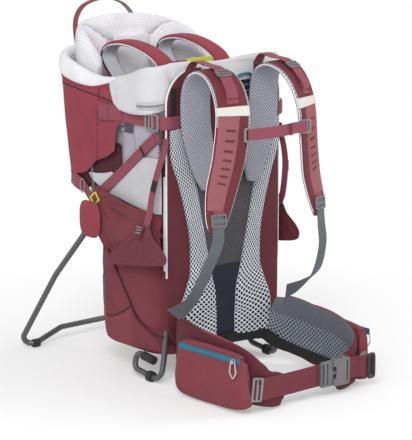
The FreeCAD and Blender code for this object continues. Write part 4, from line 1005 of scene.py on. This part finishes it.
def uPlan(share, half, front, rear, corner):
    # Points of a U in plan at shares of its length: left side, corner, rear, corner, right side.
    side, turn, back = rear - corner - front, corner * math.pi / 2, 2 * (half - corner)
    a, b, c, d = side, side + turn, side + turn + back, side + 2 * turn + back
    at = share * (d + side)
    first, second = (at - a) / corner, (at - c) / corner
    cases = [at < a, at < b, at < c, at < d]
    flat = 0 * at
    x = np.select(cases, [half + flat, half - corner + corner * np.cos(first), half - corner - (at - b),
                          -(half - corner) - corner * np.sin(second)], -half + flat)
    y = np.select(cases, [front + at, rear - corner + corner * np.sin(first), rear + flat,
                          rear - corner + corner * np.cos(second)], rear - corner - (at - d))
    return x, y


def uOf(d, share, down=0.0):
    # A dictionary's U in plan, narrower and drawn forward by how far down it is, 0 to 1.
    return uPlan(share, d["half"] - d.get("narrow", 0) * down, d["front"],
                 d["rear"] - d.get("drawIn", 0) * down, d["corner"])


def fromMiddle(x, y, z, middle, shift):
    # Points moved away from an upright line by a distance that may vary.
    grow = 1 + shift / np.hypot(x, y - middle)
    return points(x * grow, middle + (y - middle) * grow, z)


def makeShell():
    # A U between two edges: soft folds push it out, two seams on each side draw it in.
    d = cockpit
    share = np.linspace(0, 1, 420)[None, :]
    v = np.linspace(0, 1, 110)[:, None]
    y = uOf(d, share)[1]
    low = readAt(y, d["lowEdge"])
    z = low + v * (readAt(y, d["highEdge"]) - low)
    x, y = uOf(d, share + 0 * z, np.clip((d["top"] - z) / (d["top"] - d["bottom"]), 0, 1))
    loose = fromEnds(v, 6) * fromEnds(share, 30)
    along, slant, up = d["foldRates"]
    swell = d["fold"] * loose * ripple(d["folds"], share * along + v * slant, v * up)
    side = np.where(share < 0.5, share, 1 - share) * d["length"] + d["front"]
    narrow, wide = d["seamWidths"]
    upright = hump(side - d["seam"] - d["seamSlope"] * (d["top"] - z), narrow)
    level = hump(z - d["crossSeam"] - d["crossSlope"] * (side - d["front"]), wide)
    seams = np.maximum(upright, level)
    grid = fromMiddle(x, y, z, d["middle"], swell - d["seamDepth"] * seams * loose)
    # Faces along the seams are painted dark: partly the seams' own lines, partly painted shade in their
    # grooves and under the collar.
    seamShade = (seams > d["seamShadeFrom"])[::-1]

    def part(i, j):
        return np.where(seamShade[i, j] & (i > 3), 2, 0)

    shell = sheet("shell_cloth", grid[::-1], d["wall"], -1, faceMaterial=part)
    shell.modifiers["wall"].material_offset = 1
    dress(shell, "carrier", redCloth, darkCloth, deepCloth, stands=["cockpit_shell"], slot="red_fabric")
    hems = [tubeAlong("hem", grid[row] + points(0, 0, lift), d["hem"], 8)
            for row, lift in ((0, 0.2), (-1, -6))]
    dress(joined("shell_hems", hems), "carrier", redCloth, slot="red_fabric")


makeShell()


# Padded collar round the cockpit's rim: a roll of white spacer mesh that grows towards the rear.
collar = {
    "half": 170, "front": 126, "rear": 344, "corner": 58, "thickness": 11.5,
    "swell": 0.05, "folds": (31, 1.0, 3), "foldRates": (26, 6), "span": 15,
    "foot": [(126, 610), (157, 599), (190, 590), (219, 586), (270, 590), (300, 598), (344, 601)],
    "heights": [(0, 7), (0.06, 16), (0.13, 30), (0.2, 38), (0.27, 44), (0.34, 54), (0.5, 60)],
}


def makeCollar():
    # A pillow section on edge along the U; its height and thickness grow from the ends to the rear.
    d = collar
    share = np.linspace(0, 1, 260)
    x, y = uOf(d, share)
    height = softened(readAt(np.minimum(share, 1 - share), d["heights"]), d["span"])
    foot = softened(readAt(y, d["foot"]), d["span"])
    path = points(x, y, foot + height / 2)
    grid = carry(path, (0, 0, 1), pillow(48, 2.5), height / 2 + 0.6,
                 d["thickness"] * np.clip(0.35 + height / 50, 0, 1))
    along, turns = d["foldRates"]
    swell = 1 + d["swell"] * ripple(d["folds"], share[:, None] * along, np.linspace(0, turns, 48)[None, :])
    grid = path[:, None] + (grid - path[:, None]) * swell[..., None]
    dress(roll("collar_roll", grid), "carrier", rimMesh, stands=["cockpit_collar"], slot="pale_fabric",
          fill=0.5)


makeCollar()


# Lining: a padded white mesh wall inside the shell, painted darker as shade, with a notch for the child's
# elbow.
lining = {
    "half": 158.5, "front": 20, "rear": 332.5, "corner": 49, "bottom": 345.6, "step": 546, "middle": 150,
    "narrow": 12, "drawIn": 54.5, "wall": 8.5, "notch": (93, 139, 502), "notchEase": 7, "backFrom": 176,
    "fold": 0.9, "inset": 0.4, "folds": (41, 1.2, 3), "foldRates": (26, 4), "footFree": 5,
    "rearTop": [(176, 585), (250, 600), (300, 620), (333, 640)],
}


def makeLining():
    # A U between a flat foot and an edge that dips at the notch; soft folds press it inwards.
    d = lining
    share = np.linspace(0, 1, 420)[None, :]
    y = uOf(d, share)[1]
    near, far, low = d["notch"]
    dip = ramp(np.minimum(y - near, far - y), 0, d["notchEase"])
    edge = d["step"] - (d["step"] - low) * (1 - (1 - dip) ** 2.5)
    high = np.where(y > d["backFrom"], readAt(y, d["rearTop"]), edge)
    v = np.linspace(0, 1, 60)[:, None]
    z = d["bottom"] + v * (high - d["bottom"])
    x, y = uOf(d, share + 0 * z, np.clip((d["step"] - z) / (d["step"] - d["bottom"]), 0, 1))
    along, up = d["foldRates"]
    soft = d["fold"] * ripple(d["folds"], share * along, v * up) * np.clip(v * d["footFree"], 0, 1)
    grid = fromMiddle(x, y, z, d["middle"], -(d["inset"] + np.abs(soft)))
    dress(sheet("lining_cloth", grid[::-1], d["wall"], -1), "carrier", shadedInnerMesh, stands=["cockpit_lining"],
          slot="pale_fabric", fill=0.3)


makeLining()


# Headrest: a curved pad on the collar's inner face, in three puffs: a tall cap over the middle and a
# fuller bolster at each side, met by a curved seam. Rows are (distance from the middle, height).
headrest = {
    "half": 148, "front": 222, "rear": 323, "corner": 64, "thickness": 10, "lean": -0.05,
    "top": [(0, 713), (40, 712), (100, 702), (125, 692), (150, 682), (172, 664), (200, 640), (222, 615)],
    "foot": [(0, 575), (60, 566), (222, 562)],
    "seam": [(0, 632), (36, 650), (62, 668), (92, 688), (130, 698), (160, 702), (222, 700)],
    "bolster": 13, "bolsterRise": (26, 40), "cap": 5, "capRise": (18, 22), "endRise": 26, "endThin": 0.45,
    "groove": 4.5, "grooveWidth": 3.2, "tuft": 0.9, "folds": (51, 1.2, 3), "foldLengths": (42, 40),
    "span": 21,
}


def makeHeadrest():
    # A pillow section on edge along the U; its inner half swells below and above the seam, is drawn in
    # on the seam and is tufted.
    d = headrest
    share = np.linspace(1, 0, 300)
    x, y = uOf(d, share)
    run = np.concatenate([[0], np.cumsum(np.hypot(np.diff(x), np.diff(y)))])
    away = np.abs(run - run[-1] / 2)
    top = softened(readAt(away, d["top"]) + d["lean"] * x, d["span"])
    foot = readAt(away, d["foot"])
    seam = (readAt(away, d["seam"]) + d["lean"] * x)[:, None]
    path = points(x, y, (top + foot) / 2)
    section = pillow(120, 3.4)
    half = (top - foot)[:, None] / 2
    height = path[:, 2:3] + section[None, :, 0] * (top - foot)[:, None] / 2
    end = ramp(run[-1] / 2 - away, 0, d["endRise"])[:, None]
    (low, lowFoot), (high, highTop) = d["bolsterRise"], d["capRise"]
    below = ramp(seam - height, 0, low) * ramp(height - foot[:, None], 0, lowFoot)
    above = ramp(height - seam, 0, high) * ramp(top[:, None] - height, 0, highTop)
    puff = d["bolster"] * np.sin(below * math.pi / 2) * end + d["cap"] * above
    crease = d["groove"] * hump(height - seam, d["grooveWidth"])
    along, up = d["foldLengths"]
    tuft = d["tuft"] * ripple(d["folds"], run[:, None] / along, height / up)
    sections = sized(section, half, d["thickness"] * (d["endThin"] + (1 - d["endThin"]) * end))
    sections[..., 1] += np.clip(section[:, 1], 0, 1) * (puff - crease + tuft)
    dress(roll("headrest_pad", carry(path, (0, 0, 1), sections)), "carrier", restMesh, stands=["headrest"],
          slot="pale_fabric", fill=0.7)


makeHeadrest()


# Child's backrest: a soft upright pad in the middle of the cockpit's rear wall.
backrest = {"half": 46, "low": 520, "high": 668, "y": 292, "thickness": 8, "slope": 0.05}


def makeBackrest():
    # A pillow section carried up a sloping line.
    d = backrest
    z = np.linspace(d["low"], d["high"], 60)
    path = points(0, d["y"] + d["slope"] * (z - d["low"]), z)
    pad = roll("backrest_pad", carry(path, (1, 0, 0), pillow(48, 4.0), d["half"], d["thickness"]))
    dress(pad, "carrier", restMesh, slot="pale_fabric", fill=0.5)


makeBackrest()


# Chin pad: a puffed collar of pale cloth across the front, with a zipped band at each side. Rows from
# the left side to the middle: (x, y, z, width).
chinPad = {
    "line": [(170, 138, 580, 50), (170, 130, 583, 62), (170, 116, 585, 70), (170, 80, 588, 82),
             (168, 40, 597, 92), (149, 19, 606, 90), (117, 12.9, 620, 68), (70, 12.9, 626, 52),
             (0, 12.9, 624, 46)],
    "thickness": 9, "square": 3.0, "swell": 0.10, "folds": (61, 1.3, 3), "foldRates": (22, 0.9),
    "pinch": 0.45, "pinchAt": 0.14, "pinchWidth": 0.012,
    "bandSpan": (3.1 / 14, 5.3 / 14), "bandAt": (-0.56, -0.86), "bandHalf": 0.135, "bandWall": 1.0,
    "bands": [("chin_band", 1.0, 1.6, zipTape), ("chin_zip", 0.42, 2.1, zipTeeth)],
}


def bothSides(rows):
    # Rows from the left side to the middle, carried on by their mirror images.
    return rows + [(-row[0], *row[1:]) for row in rows[-2::-1]]


def makeChinPad():
    # A pillow section along the line, swelled by soft folds and pinched where its middle part begins.
    d = chinPad
    rows = smoothPath(bothSides(d["line"]), 300)
    share = np.linspace(0, 1, 300)[:, None]
    turn = np.linspace(0, 2 * math.pi, 64)[None, :]
    along, turns = d["foldRates"]
    swell = 1 + d["swell"] * ripple(d["folds"], share * along, turn * turns)
    pinch = 1 - d["pinch"] * hump(np.abs(share - 0.5) - d["pinchAt"], d["pinchWidth"])
    sections = sized(pillow(64, d["square"]), rows[:, 3:4] / 2 * (1 - 0.05 * (1 - pinch)),
                     d["thickness"] * swell * pinch)
    dress(roll("chin_pad_cover", carry(rows[:, :3], (0, 0, 1), sections)), "carrier", paleCloth,
          stands=["chin_pad"], slot="pale_fabric", fill=0.6)
    heading = unit(np.gradient(rows[:, :3], axis=0))
    at = np.interp(np.linspace(*d["bandSpan"], 50), share[:, 0], np.arange(300)).astype(int)
    middle = np.linspace(*d["bandAt"], 50)[:, None]
    up = unit(np.array([0, 0, 1.0]) - heading[at, 2:3] * heading[at])
    out = np.cross(heading[at], up)
    out *= np.sign(out[:, 0:1] + 1e-9)
    for name, reach, lift, material in d["bands"]:
        across = middle + d["bandHalf"] * np.linspace(-reach, reach, 6)[None, :]
        crown = (1 - np.abs(across) ** d["square"]) ** (1 / d["square"])
        band = (rows[at][:, None, :3] + up[:, None] * (across * rows[at, 3:4] / 2)[..., None]
                + out[:, None] * (d["thickness"] * crown + lift)[..., None])
        dressPair(sheet(name + "_left", band, d["bandWall"]), material, slot="pale_fabric")


makeChinPad()


# Child's shoulder harness: padded arches, red outside and white mesh beneath, piped at both edges.
childHarness = {
    "line": [(196, 560), (242, 590), (272, 617), (281, 638), (262, 659), (212, 668), (156, 662), (108, 646),
             (84, 622), (76, 590)],
    "x": 74, "half": 20, "thickness": 6.2, "pipe": 1.5, "pipeDrop": 1.6,
    "taper": [(0, 0.9), (0.3, 0.95), (0.45, 1), (0.85, 1), (1, 0.8)],
    "pipes": [("piping", whiteBinding, 62, 150), ("binding", blackTrim, 2, 62)],
    "tab": [(33.4, 74, 636, 16, (0, 0, 1)), (46, 84, 635, 16, (0, 0, 1)), (60, 95, 634, 16, (0, 0, 1))],
}


def makeChildHarness():
    # A pillow section along the arch; faces on its outer half are red, and pipes follow its edges.
    d = childHarness
    rows = smoothPath([(d["x"], y, z) for y, z in d["line"]], 160)
    section = pillow(40, 3.4)
    half = d["half"] * readAt(np.linspace(0, 1, 160), d["taper"])
    grid = carry(rows, (-1, 0, 0), section, half, d["thickness"])
    middle = faceMiddle(section[:, 1])
    heading = unit(np.gradient(rows, axis=0))
    side = unit(np.array([-1.0, 0, 0]) - heading[:, :1] * -heading)
    out = np.cross(heading, side)
    outer = 1 if out[80, 2] > 0 else -1

    def part(i, j):
        return np.where(outer * middle[j] > -0.05, 0, 1)

    dressPair(roll("harness_arch_left", grid, part), redCloth, archMesh, stands=["child_harness"],
              slot="pad_fabric", fill=0.6)
    for name, material, low, high in d["pipes"]:
        lines = [rows + side * (share * (half - 0.6))[:, None] - out * (d["pipeDrop"] * outer)
                 for share in (-1, 1)]
        pipes = [tubeAlong("pipe", line[low:high], d["pipe"], 8) for line in lines]
        dressPair(joined(f"harness_{name}_left", pipes), material, slot="pale_fabric")
    strapPair("harness_tab", d["tab"], 1.8, redWebbing, slot="red_webbing", count=20)


makeChildHarness()
print("cockpit made")


# Seat pad: a boxed cushion on the bag's top, in mesh.
seatPad = {"half": 132.5, "front": 40, "rear": 240, "bottom": 345.6, "thickness": 14}


def makeSeatPad():
    # A boxy section from front to rear, smaller at both ends by a superellipse.
    d = seatPad
    v = np.linspace(-1, 1, 60)
    taper = (1 - np.abs(v) ** 8) ** (1 / 8)
    path = points(0, (d["front"] + d["rear"]) / 2 + (d["rear"] - d["front"]) / 2 * v,
                  d["bottom"] + d["thickness"] / 2)
    grid = carry(path, (1, 0, 0), pillow(60, 6.0), d["half"] * (0.92 + 0.08 * taper),
                 d["thickness"] / 2 * np.maximum(taper, 0.3))
    # The seat's mesh is painted darker than white, as shade inside the cockpit.
    dress(roll("seat_cushion", grid), "seat", shadedInnerMesh, stands=["seat_pad"], slot="pale_fabric", fill=0.6)


makeSeatPad()


# Grab handle: webbing on edge, red above and grey beneath, sewn to the shell's rear.
grabHandle = {
    "line": [(80, 361, 560), (80, 365, 600), (81, 377, 640), (80, 387, 675), (71, 394, 705), (46, 399, 727),
             (0, 401, 736)],
    "halves": [(0, 8), (0.55, 7.36), (0.8, 5.44), (1, 4.8)], "thickness": 3.0,
}


def makeGrabHandle():
    # A flat section along the arch, widest at its top.
    d = grabHandle
    rows = smoothPath(bothSides(d["line"]), 180)
    section = pillow(24, 5.0)
    middle = faceMiddle(section[:, 1])
    half = readAt(np.abs(np.linspace(-1, 1, 180)), d["halves"])
    grid = carry(rows, (0, 1, 0), section, half, d["thickness"] / 2)
    heading = unit(np.gradient(rows, axis=0))
    outer = 1 if np.cross(heading, np.array([0.0, 1.0, 0.0]))[90, 2] > 0 else -1

    def part(i, j):
        return np.where(outer * middle[j] > -0.3, 0, 1)

    dress(roll("handle_webbing", grid, part), "carrier", handleRed, handleGrey, stands=["grab_handle"],
          slot="red_webbing")


makeGrabHandle()


# Side straps at the cockpit's mouth, the slanted leg straps below them, and the cloths beside them.
# Leg rows are (x past legX, y, z).
sideWork = {
    "width": 22, "legX": 158.1,
    "strap": [(178.8, 179, 543, 38), (178.8, 152, 543.5, 34), (176.8, 124, 544, 29), (169, 98, 541, 26),
              (162, 72, 538, 26), (159.6, 44, 537, 26), (159.6, 12, 537, 26), (156.6, 1.5, 537, 26),
              (147, -6.4, 537, 26), (122, -6.4, 537, 26), (97, -6.4, 537, 26)],
    "patch": [(180.6, 177, 543, 30), (180.5, 160, 543.5, 28), (180.2, 148, 543.5, 27)],
    "leg": [(9.9, 196, 367), (4.5, 170, 388.5), (0.8, 130, 420.5), (0, 80, 460), (0, 30, 498),
            (-0.6, 14, 510)],
    "keeper": [(1.9, 64, 472), (1.9, 60, 475)],
    "cuff": [(2.4, 58, 477), (2.2, 40, 491), (1.8, 22, 504.5)],
    "anchor": [(169.5, 246, 379, 19), (170.2, 224, 361, 19), (171, 200, 343, 19)],
    "tab": [(160, 298, 388, 30), (168.5, 274, 384, 30), (171.5, 252, 379, 28), (171.5, 246, 378.5, 26)],
    "lockX": 163.8, "lockMiddle": (26, 537), "lockHalf": (19, 15.5), "lockPower": 0.3, "lockRadius": 1.9,
    "ringX": 172.6, "ringMiddle": (245, 377), "ringHalf": (7, 14), "ringRadius": 1.3,
    "foldLengths": (34, 60), "clothWall": 1.3,
    # The side cloth's darker pale colour is painted shade.
    "cloths": [{"name": "side_cloth", "material": shadedPaleCloth, "slot": "pale_fabric",
                "stands": ["side_panels"],
                "top": [(228, 407), (190, 410), (153, 421), (98, 450), (60, 461), (8, 464)],
                "foot": [(221, 395), (177, 373), (121, 361), (80, 354), (40, 350), (8, 352)],
                "depths": [(8, 154.4), (60, 155.6), (150, 156.4), (230, 168)], "swell": 0.8,
                "folds": (71, 1.0, 4)},
               # The leg opening's dark cloth is painted shade: a sheet for the shade inside the opening.
               {"name": "leg_opening_shade", "material": deepCloth, "slot": "red_fabric", "stands": (),
                "top": [(288, 412), (262, 425), (225, 442), (204, 455), (165, 470), (144, 478), (132, 474)],
                "foot": [(288, 392), (262, 378), (240, 372), (215, 384), (190, 388), (160, 400), (134, 420)],
                "depths": [(100, 155.5), (140, 156.4), (262, 164.5), (290, 165)], "swell": 1.0,
                "folds": (72, 1.0, 4)}],
}


def makeSideCloth(name, top, foot, depths, material, swell, folds, slot, stands):
    # A cloth between two edges, with its x read from its depth and soft folds away from its edges.
    y, z = np.moveaxis(between(top, foot, 70, 50), -1, 0)
    loose = fromEnds(np.linspace(0, 1, 70)[:, None], 8) * fromEnds(np.linspace(0, 1, 50)[None, :], 8, 0.15)
    length, slant = sideWork["foldLengths"]
    x = readAt(y, depths) + swell * ripple(folds, y / length + z / slant, z / length) * loose
    piece = sheet(name + "_left", points(x, y, z), sideWork["clothWall"])
    dressPair(piece, material, stands=stands, slot=slot)


def ringAt(x, middle, half, section):
    # A section's outline as a ring in a side's (depth, height) plane.
    return points(x, *(middle[axis] + half[axis] * section[:, axis] for axis in (0, 1)))


def makeSideWork():
    # Webbing through the rows above, a square ring round each lock and an oval one on each tab.
    d = sideWork
    red = {"material": redWebbing, "slot": "red_webbing"}
    upright, slope, down = (0, 0, 1), (0, 0.6, 0.8), (0, -0.61, 0.79)
    strapPair("side_strap", d["strap"], 1.9, stands=["side_straps"], reference=upright, count=110, **red)
    strapPair("side_patch", d["patch"], 1.4, reference=upright, count=20, **red)
    lock = ringAt(d["lockX"], d["lockMiddle"], d["lockHalf"], pillow(60, 2 / d["lockPower"]))
    dressPair(tubeAlong("side_lock_frame_left", lock, d["lockRadius"], closed=True), silverPlastic,
              slot="silver_plastic")

    def legRows(key, more=0):
        return [(d["legX"] + x, y, z, d["width"] + more) for x, y, z in d[key]]
    strapPair("leg_strap", legRows("leg"), 1.9, stands=["leg_straps"], reference=slope, **red)
    strapPair("leg_keeper", legRows("keeper", 1), 1.2, blackTrim, reference=slope, slot="red_webbing",
              count=8)
    strapPair("leg_cuff", legRows("cuff"), 1.4, reference=slope, count=16, **red)
    for cloth in d["cloths"]:
        makeSideCloth(**cloth)
    strapPair("leg_anchor", d["anchor"], 1.8, reference=down, count=30, **red)
    strapPair("shell_tab", d["tab"], 3.0, reference=upright, count=24, **red)
    ring = ringAt(d["ringX"], d["ringMiddle"], d["ringHalf"], pillow(48, 2))
    dressPair(tubeAlong("shell_ring_left", ring, d["ringRadius"], 8, closed=True), silverPlastic,
              slot="silver_plastic")


makeSideWork()


# Stirrups: foot slings of webbing that hang below the board's side edges.
stirrup = {
    "hanger": [(149.7, -1, 506), (153.5, -2, 486), (164, 0, 456), (172.5, 4, 424), (177, 10, 390),
               (178.4, 17, 353), (178.4, 24, 336), (178.4, 27, 327)],
    "loop": [(27, 330), (8, 306), (-20, 286), (-31, 272), (-16, 261), (60, 249), (118, 240),
             (143, 240), (128, 258), (99, 279), (60, 308)],
    "x": 178.4, "width": 17, "thickness": 2.2, "wave": 1.6, "waveTurn": 14,
    "half": 4.6, "footMore": 2.0, "footFrom": (275, -20), "middle": (44, 300), "slingIn": 1.2,
    "slingFold": 1.8, "slingFolds": 7, "slingTurn": 0.6, "slingOut": 0.4, "slingWall": 1.2,
    "bars": [(312, 50, 9), (318, 47.6, 7), (324, 45.2, 8)], "barX": 181.2, "barRadius": 1.5,
    "tab": [(174.2, 3, 424, 15), (177.8, 7, 402, 15)],
}


def makeStirrups():
    # The hanger's webbing, the loop's webbing on edge, and the sling: the loop drawn in to its middle.
    d = stirrup
    pair = {"body": "stirrup_left", "slot": "red_webbing"}
    hanger = strap("stirrup_hanger_left", [(*row, d["width"]) for row in d["hanger"]], d["thickness"],
                   redWebbing, reference=(0, 1, 0), stands=["stirrup_left"], **pair)
    dress(mirrored(hanger, "stirrup_hanger_right"), "stirrup_right", stands=["stirrup_right"],
          slot="red_webbing")
    loop = [(d["x"], y, z) for y, z in d["loop"]]
    path = smoothPath(loop[-1:] + loop + loop[:2], 240)[20:-20]
    across = np.cross(unit(np.gradient(path, axis=0)), np.array([1.0, 0, 0]))
    half = d["half"] + d["footMore"] * ramp(path[:, 2], *d["footFrom"])
    path[:, 0] += d["wave"] * np.sin(np.linspace(0, d["waveTurn"], len(path)))
    grid = carry(path, across, pillow(20, 5.0), half, d["thickness"] / 2)
    dressPair(roll("stirrup_loop_left", grid), beltWebbing, **pair)
    inward = np.linspace(1, 0.02, 30)[None, :, None]
    y, z = d["middle"]
    middle = np.array([d["x"] - d["slingIn"], y, z])
    sling = middle + (path[:, None, :] - middle) * inward
    turn = np.arctan2(path[:, 2] - z, path[:, 1] - y)[:, None]
    folds = d["slingFold"] * np.sin(turn * d["slingFolds"] + d["slingTurn"])
    sling[..., 0] += folds * np.clip(1.1 - inward[..., 0], 0, 0.6) + d["slingOut"]
    dressPair(sheet("stirrup_sling_left", sling, d["slingWall"]), darkCloth, **pair)
    bars = [tubeAlong("bar", points(d["barX"], np.linspace(y - half, y + half, 12), z), d["barRadius"], 8)
            for z, y, half in d["bars"]]
    dressPair(joined("stirrup_clip_left", bars), silverPlastic, body="stirrup_left", slot="silver_plastic")
    for side, name in ((1, "stirrup_left"), (-1, "stirrup_right")):
        strap(name + "_tab", [(side * x, *row) for x, *row in d["tab"]], 1.4, blackTrim, body=name,
              slot="red_webbing", reference=(0, 1, 0), count=8)


makeStirrups()


# Small sewn goods: the haul loop, the flap, patches and ladders round it, and the zips.
smallGoods = {
    "haul": [(25.5, -9, 580), (30, -9.4, 612), (46, -9.4, 618), (63, -9.4, 616), (69, -9, 590),
             (66, -7.4, 562), (50, -7, 549), (34, -7.4, 555)],
    "flap": [(-62, -5.4, 623, 36), (-20, -6.2, 623, 40), (30, -6.4, 624, 38), (74, -5.4, 624, 36)],
    "patch": [(62, -4.6, 545, 54), (62, -4.6, 612, 54)],
    "ladder": [(133, -4.6, 548, 13), (132, -4.6, 606, 13)],
    "rungs": (556, 569, 582, 595), "rungSpan": (38, 86),
    "pocketZip": [(181.4, -80), (178.4, -135), (175.2, -190), (172.9, -253)], "pocketZipHeight": 108,
    "bagZip": [(106, 238.9, 262, 8), (106, 239.4, 230, 8), (106, 239.4, 190, 8), (106, 238.9, 148, 8)],
    "sideZip": [(149.6, 205, 270, 8), (149.9, 205, 200, 8), (149.6, 204, 136, 8)],
    "sideZipAcross": (-0.423, 0.906, 0),
}


def makeHaulLoop():
    # Closed webbing on edge, with straight sewn pieces behind it.
    d = smallGoods
    path = smoothPath(d["haul"] + d["haul"][:1], 120)[:-1]
    grid = carry(path, (0, 1, 0), pillow(20, 5.0), 5.2, 1.6)
    loop = outwards(gridMesh("haul_webbing", place(grid), wrapAcross=True, wrapAlong=True))
    dress(loop, "carrier", tealWebbing, stands=["haul_loop"], slot="teal_webbing")
    strap("board_flap", d["flap"], 2.4, paleCloth, slot="pale_fabric", reference=(0, 0, 1))
    strap("ladder_patch", d["patch"], 1.6, blackTrim, slot="black_plastic", count=20)
    strapPair("side_ladder", d["ladder"], 1.8, blackTrim, slot="black_plastic", count=16)
    for number, height in enumerate(d["rungs"]):
        rung = [(x, -6.4, height, 4.4) for x in d["rungSpan"]]
        strap(f"ladder_rung_{number}", rung, 1.4, greyWebbing, slot="grey_webbing", reference=(0, 0, 1),
              count=12)


# Cloth covers over the kickstand's hinges, as wide and as tall as the solids they stand for.
hingeCover = {"square": 3.2, "depth": 3.0, "dome": 3.4, "wall": 2.2,
              "fold": 0.5, "folds": (81, 1.0, 3), "foldLength": 22}


def makeHingeCovers():
    # Rings of a superellipse from the middle outwards, with the height of a shallow dome.
    d = hingeCover
    low, high = (np.array(corner) * 1000 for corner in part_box("hinge_flaps"))
    ring = np.linspace(0.02, 1, 24)[:, None]
    across, up = pillow(72, d["square"]).T
    middleY, middleZ = ((low + high) / 2)[1:] - (boardFront * 1000, 0)
    halfY, halfZ = ((high - low) / 2)[1:]
    y, z = middleY + halfY * ring * across, middleZ + halfZ * ring * up
    folds = d["fold"] * ripple(d["folds"], y / d["foldLength"], z / d["foldLength"])
    dome = d["dome"] * (1 - ring**2.4) ** 0.6 + folds
    cover = sheet("hinge_cover_left", points(high[0] - d["depth"] + dome, y, z), d["wall"], wrapAcross=True)
    dressPair(cover, redCloth, stands=["hinge_flaps"], slot="red_fabric")


def makeZips():
    # Tapes and teeth of the pockets' zips, and the tapes of the bag's zips.
    d = smallGoods
    teal = {"material": tealWebbing, "slot": "teal_webbing"}
    upright, height = (0, 0, 1), d["pocketZipHeight"]
    tape = [(x, y, height, 13) for x, y in d["pocketZip"]]
    strapPair("pocket_zip", tape, 1.4, stands=["pocket_zips"], reference=upright, **teal)
    teeth = [(x + 0.8, y, height, 3.4) for x, y in d["pocketZip"]]
    strapPair("pocket_teeth", teeth, 1.0, tealTeeth, slot="teal_webbing", reference=upright)
    strapPair("bag_side_zip", d["sideZip"], 1.6, reference=d["sideZipAcross"], count=40, **teal)
    strapPair("bag_zip_tape", d["bagZip"], 1.4, stands=["bag_zip"], count=40, **teal)


makeHaulLoop()
makeHingeCovers()
makeZips()
print("side goods made")


# Floor, lights and camera.
stageSet = {
    "floorSize": 60.0, "world": 0.62, "fade": (0.45, 0.95), "lift": 0.3, "white": (1.0, 1.0, 1.0, 1.0),
    "floorPaint": (0.96, 0.96, 0.96, 1.0), "lit": (0, 0, 0.35),
    "lights": [("key", (-3.2, -3.0, 3.4), 2.6, 165.0), ("fill", (3.4, -2.0, 2.0), 2.4, 55.0)],
}
lens = {"azimuth": -40.0, "elevation": 12.5, "distance": 4.5, "focal": 178.94, "sensor": 36.0,
        "target": (5, 60, 310)}


def seenDirectly(tree):
    # 1 for the camera's own rays and for those that polished or clear surfaces send on.
    path = addNode(tree, "LightPath").outputs
    seen = maths(tree, "MAXIMUM", path["Is Camera Ray"], path["Is Glossy Ray"])
    return maths(tree, "MAXIMUM", seen, path["Is Transmission Ray"])


def makeStage():
    # A white floor that keeps the shadow near the carrier and fades into the white room.
    d = stageSet
    half = d["floorSize"] / 2
    ends = np.array([-half, half])
    floor = gridMesh("floor", points(ends[:, None], ends[None, :], 0.0))
    material, tree, shader = newMaterial("floorPaint", 0.95, gloss=0.0)
    shader.inputs["Base Color"].default_value = d["floorPaint"]
    away = addNode(tree, "VectorMath", {"operation": "LENGTH"})
    feed(tree, away.inputs[0], objectCoordinates(tree))
    fade = spread(tree, away.outputs["Value"], *d["fade"], d["lift"], 1.0)
    glow = addNode(tree, "Emission", Color=d["white"], Strength=1.0)
    mixed = addNode(tree, "MixShader")
    share = maths(tree, "MULTIPLY", fade, seenDirectly(tree))
    feedAll(tree, mixed, share, shader.outputs[0], glow.outputs[0])
    feed(tree, tree.nodes["Material Output"].inputs["Surface"], mixed.outputs[0])
    floor.data.materials.append(material)
    world = bpy.data.worlds.new("softRoom")
    bpy.context.scene.world = world
    world.use_nodes = True
    sky = world.node_tree
    background = sky.nodes["Background"]
    background.inputs["Color"].default_value = d["white"]
    feed(sky, background.inputs["Strength"], spread(sky, seenDirectly(sky), 0.0, 1.0, d["world"], 1.0))


def addToScene(name, data, position, forward):
    # A light or a camera at a position, looking along a direction.
    piece = bpy.data.objects.new(name, data)
    bpy.context.scene.collection.objects.link(piece)
    piece.location = position
    piece.rotation_euler = Vector(forward).to_track_quat("-Z", "Y").to_euler()
    return piece


def makeLights():
    # Round area lights that face the carrier.
    for name, position, size, power in stageSet["lights"]:
        data = bpy.data.lights.new(name, "AREA")
        data.shape, data.size, data.energy = "DISK", size, power
        addToScene(name, data, position, np.array(stageSet["lit"]) - np.array(position))


def makeCamera():
    # The camera looks at its target from a distance along two angles.
    d = lens
    azimuth, elevation = math.radians(d["azimuth"]), math.radians(d["elevation"])
    back = np.array([math.sin(azimuth) * math.cos(elevation), -math.cos(azimuth) * math.cos(elevation),
                     math.sin(elevation)])
    data = bpy.data.cameras.new("camera")
    data.lens, data.sensor_width = d["focal"], d["sensor"]
    bpy.context.scene.camera = addToScene("camera", data, place(d["target"]) + back * d["distance"], -back)


makeStage()
makeLights()
makeCamera()
bpy.context.scene.view_settings.view_transform = "Standard"
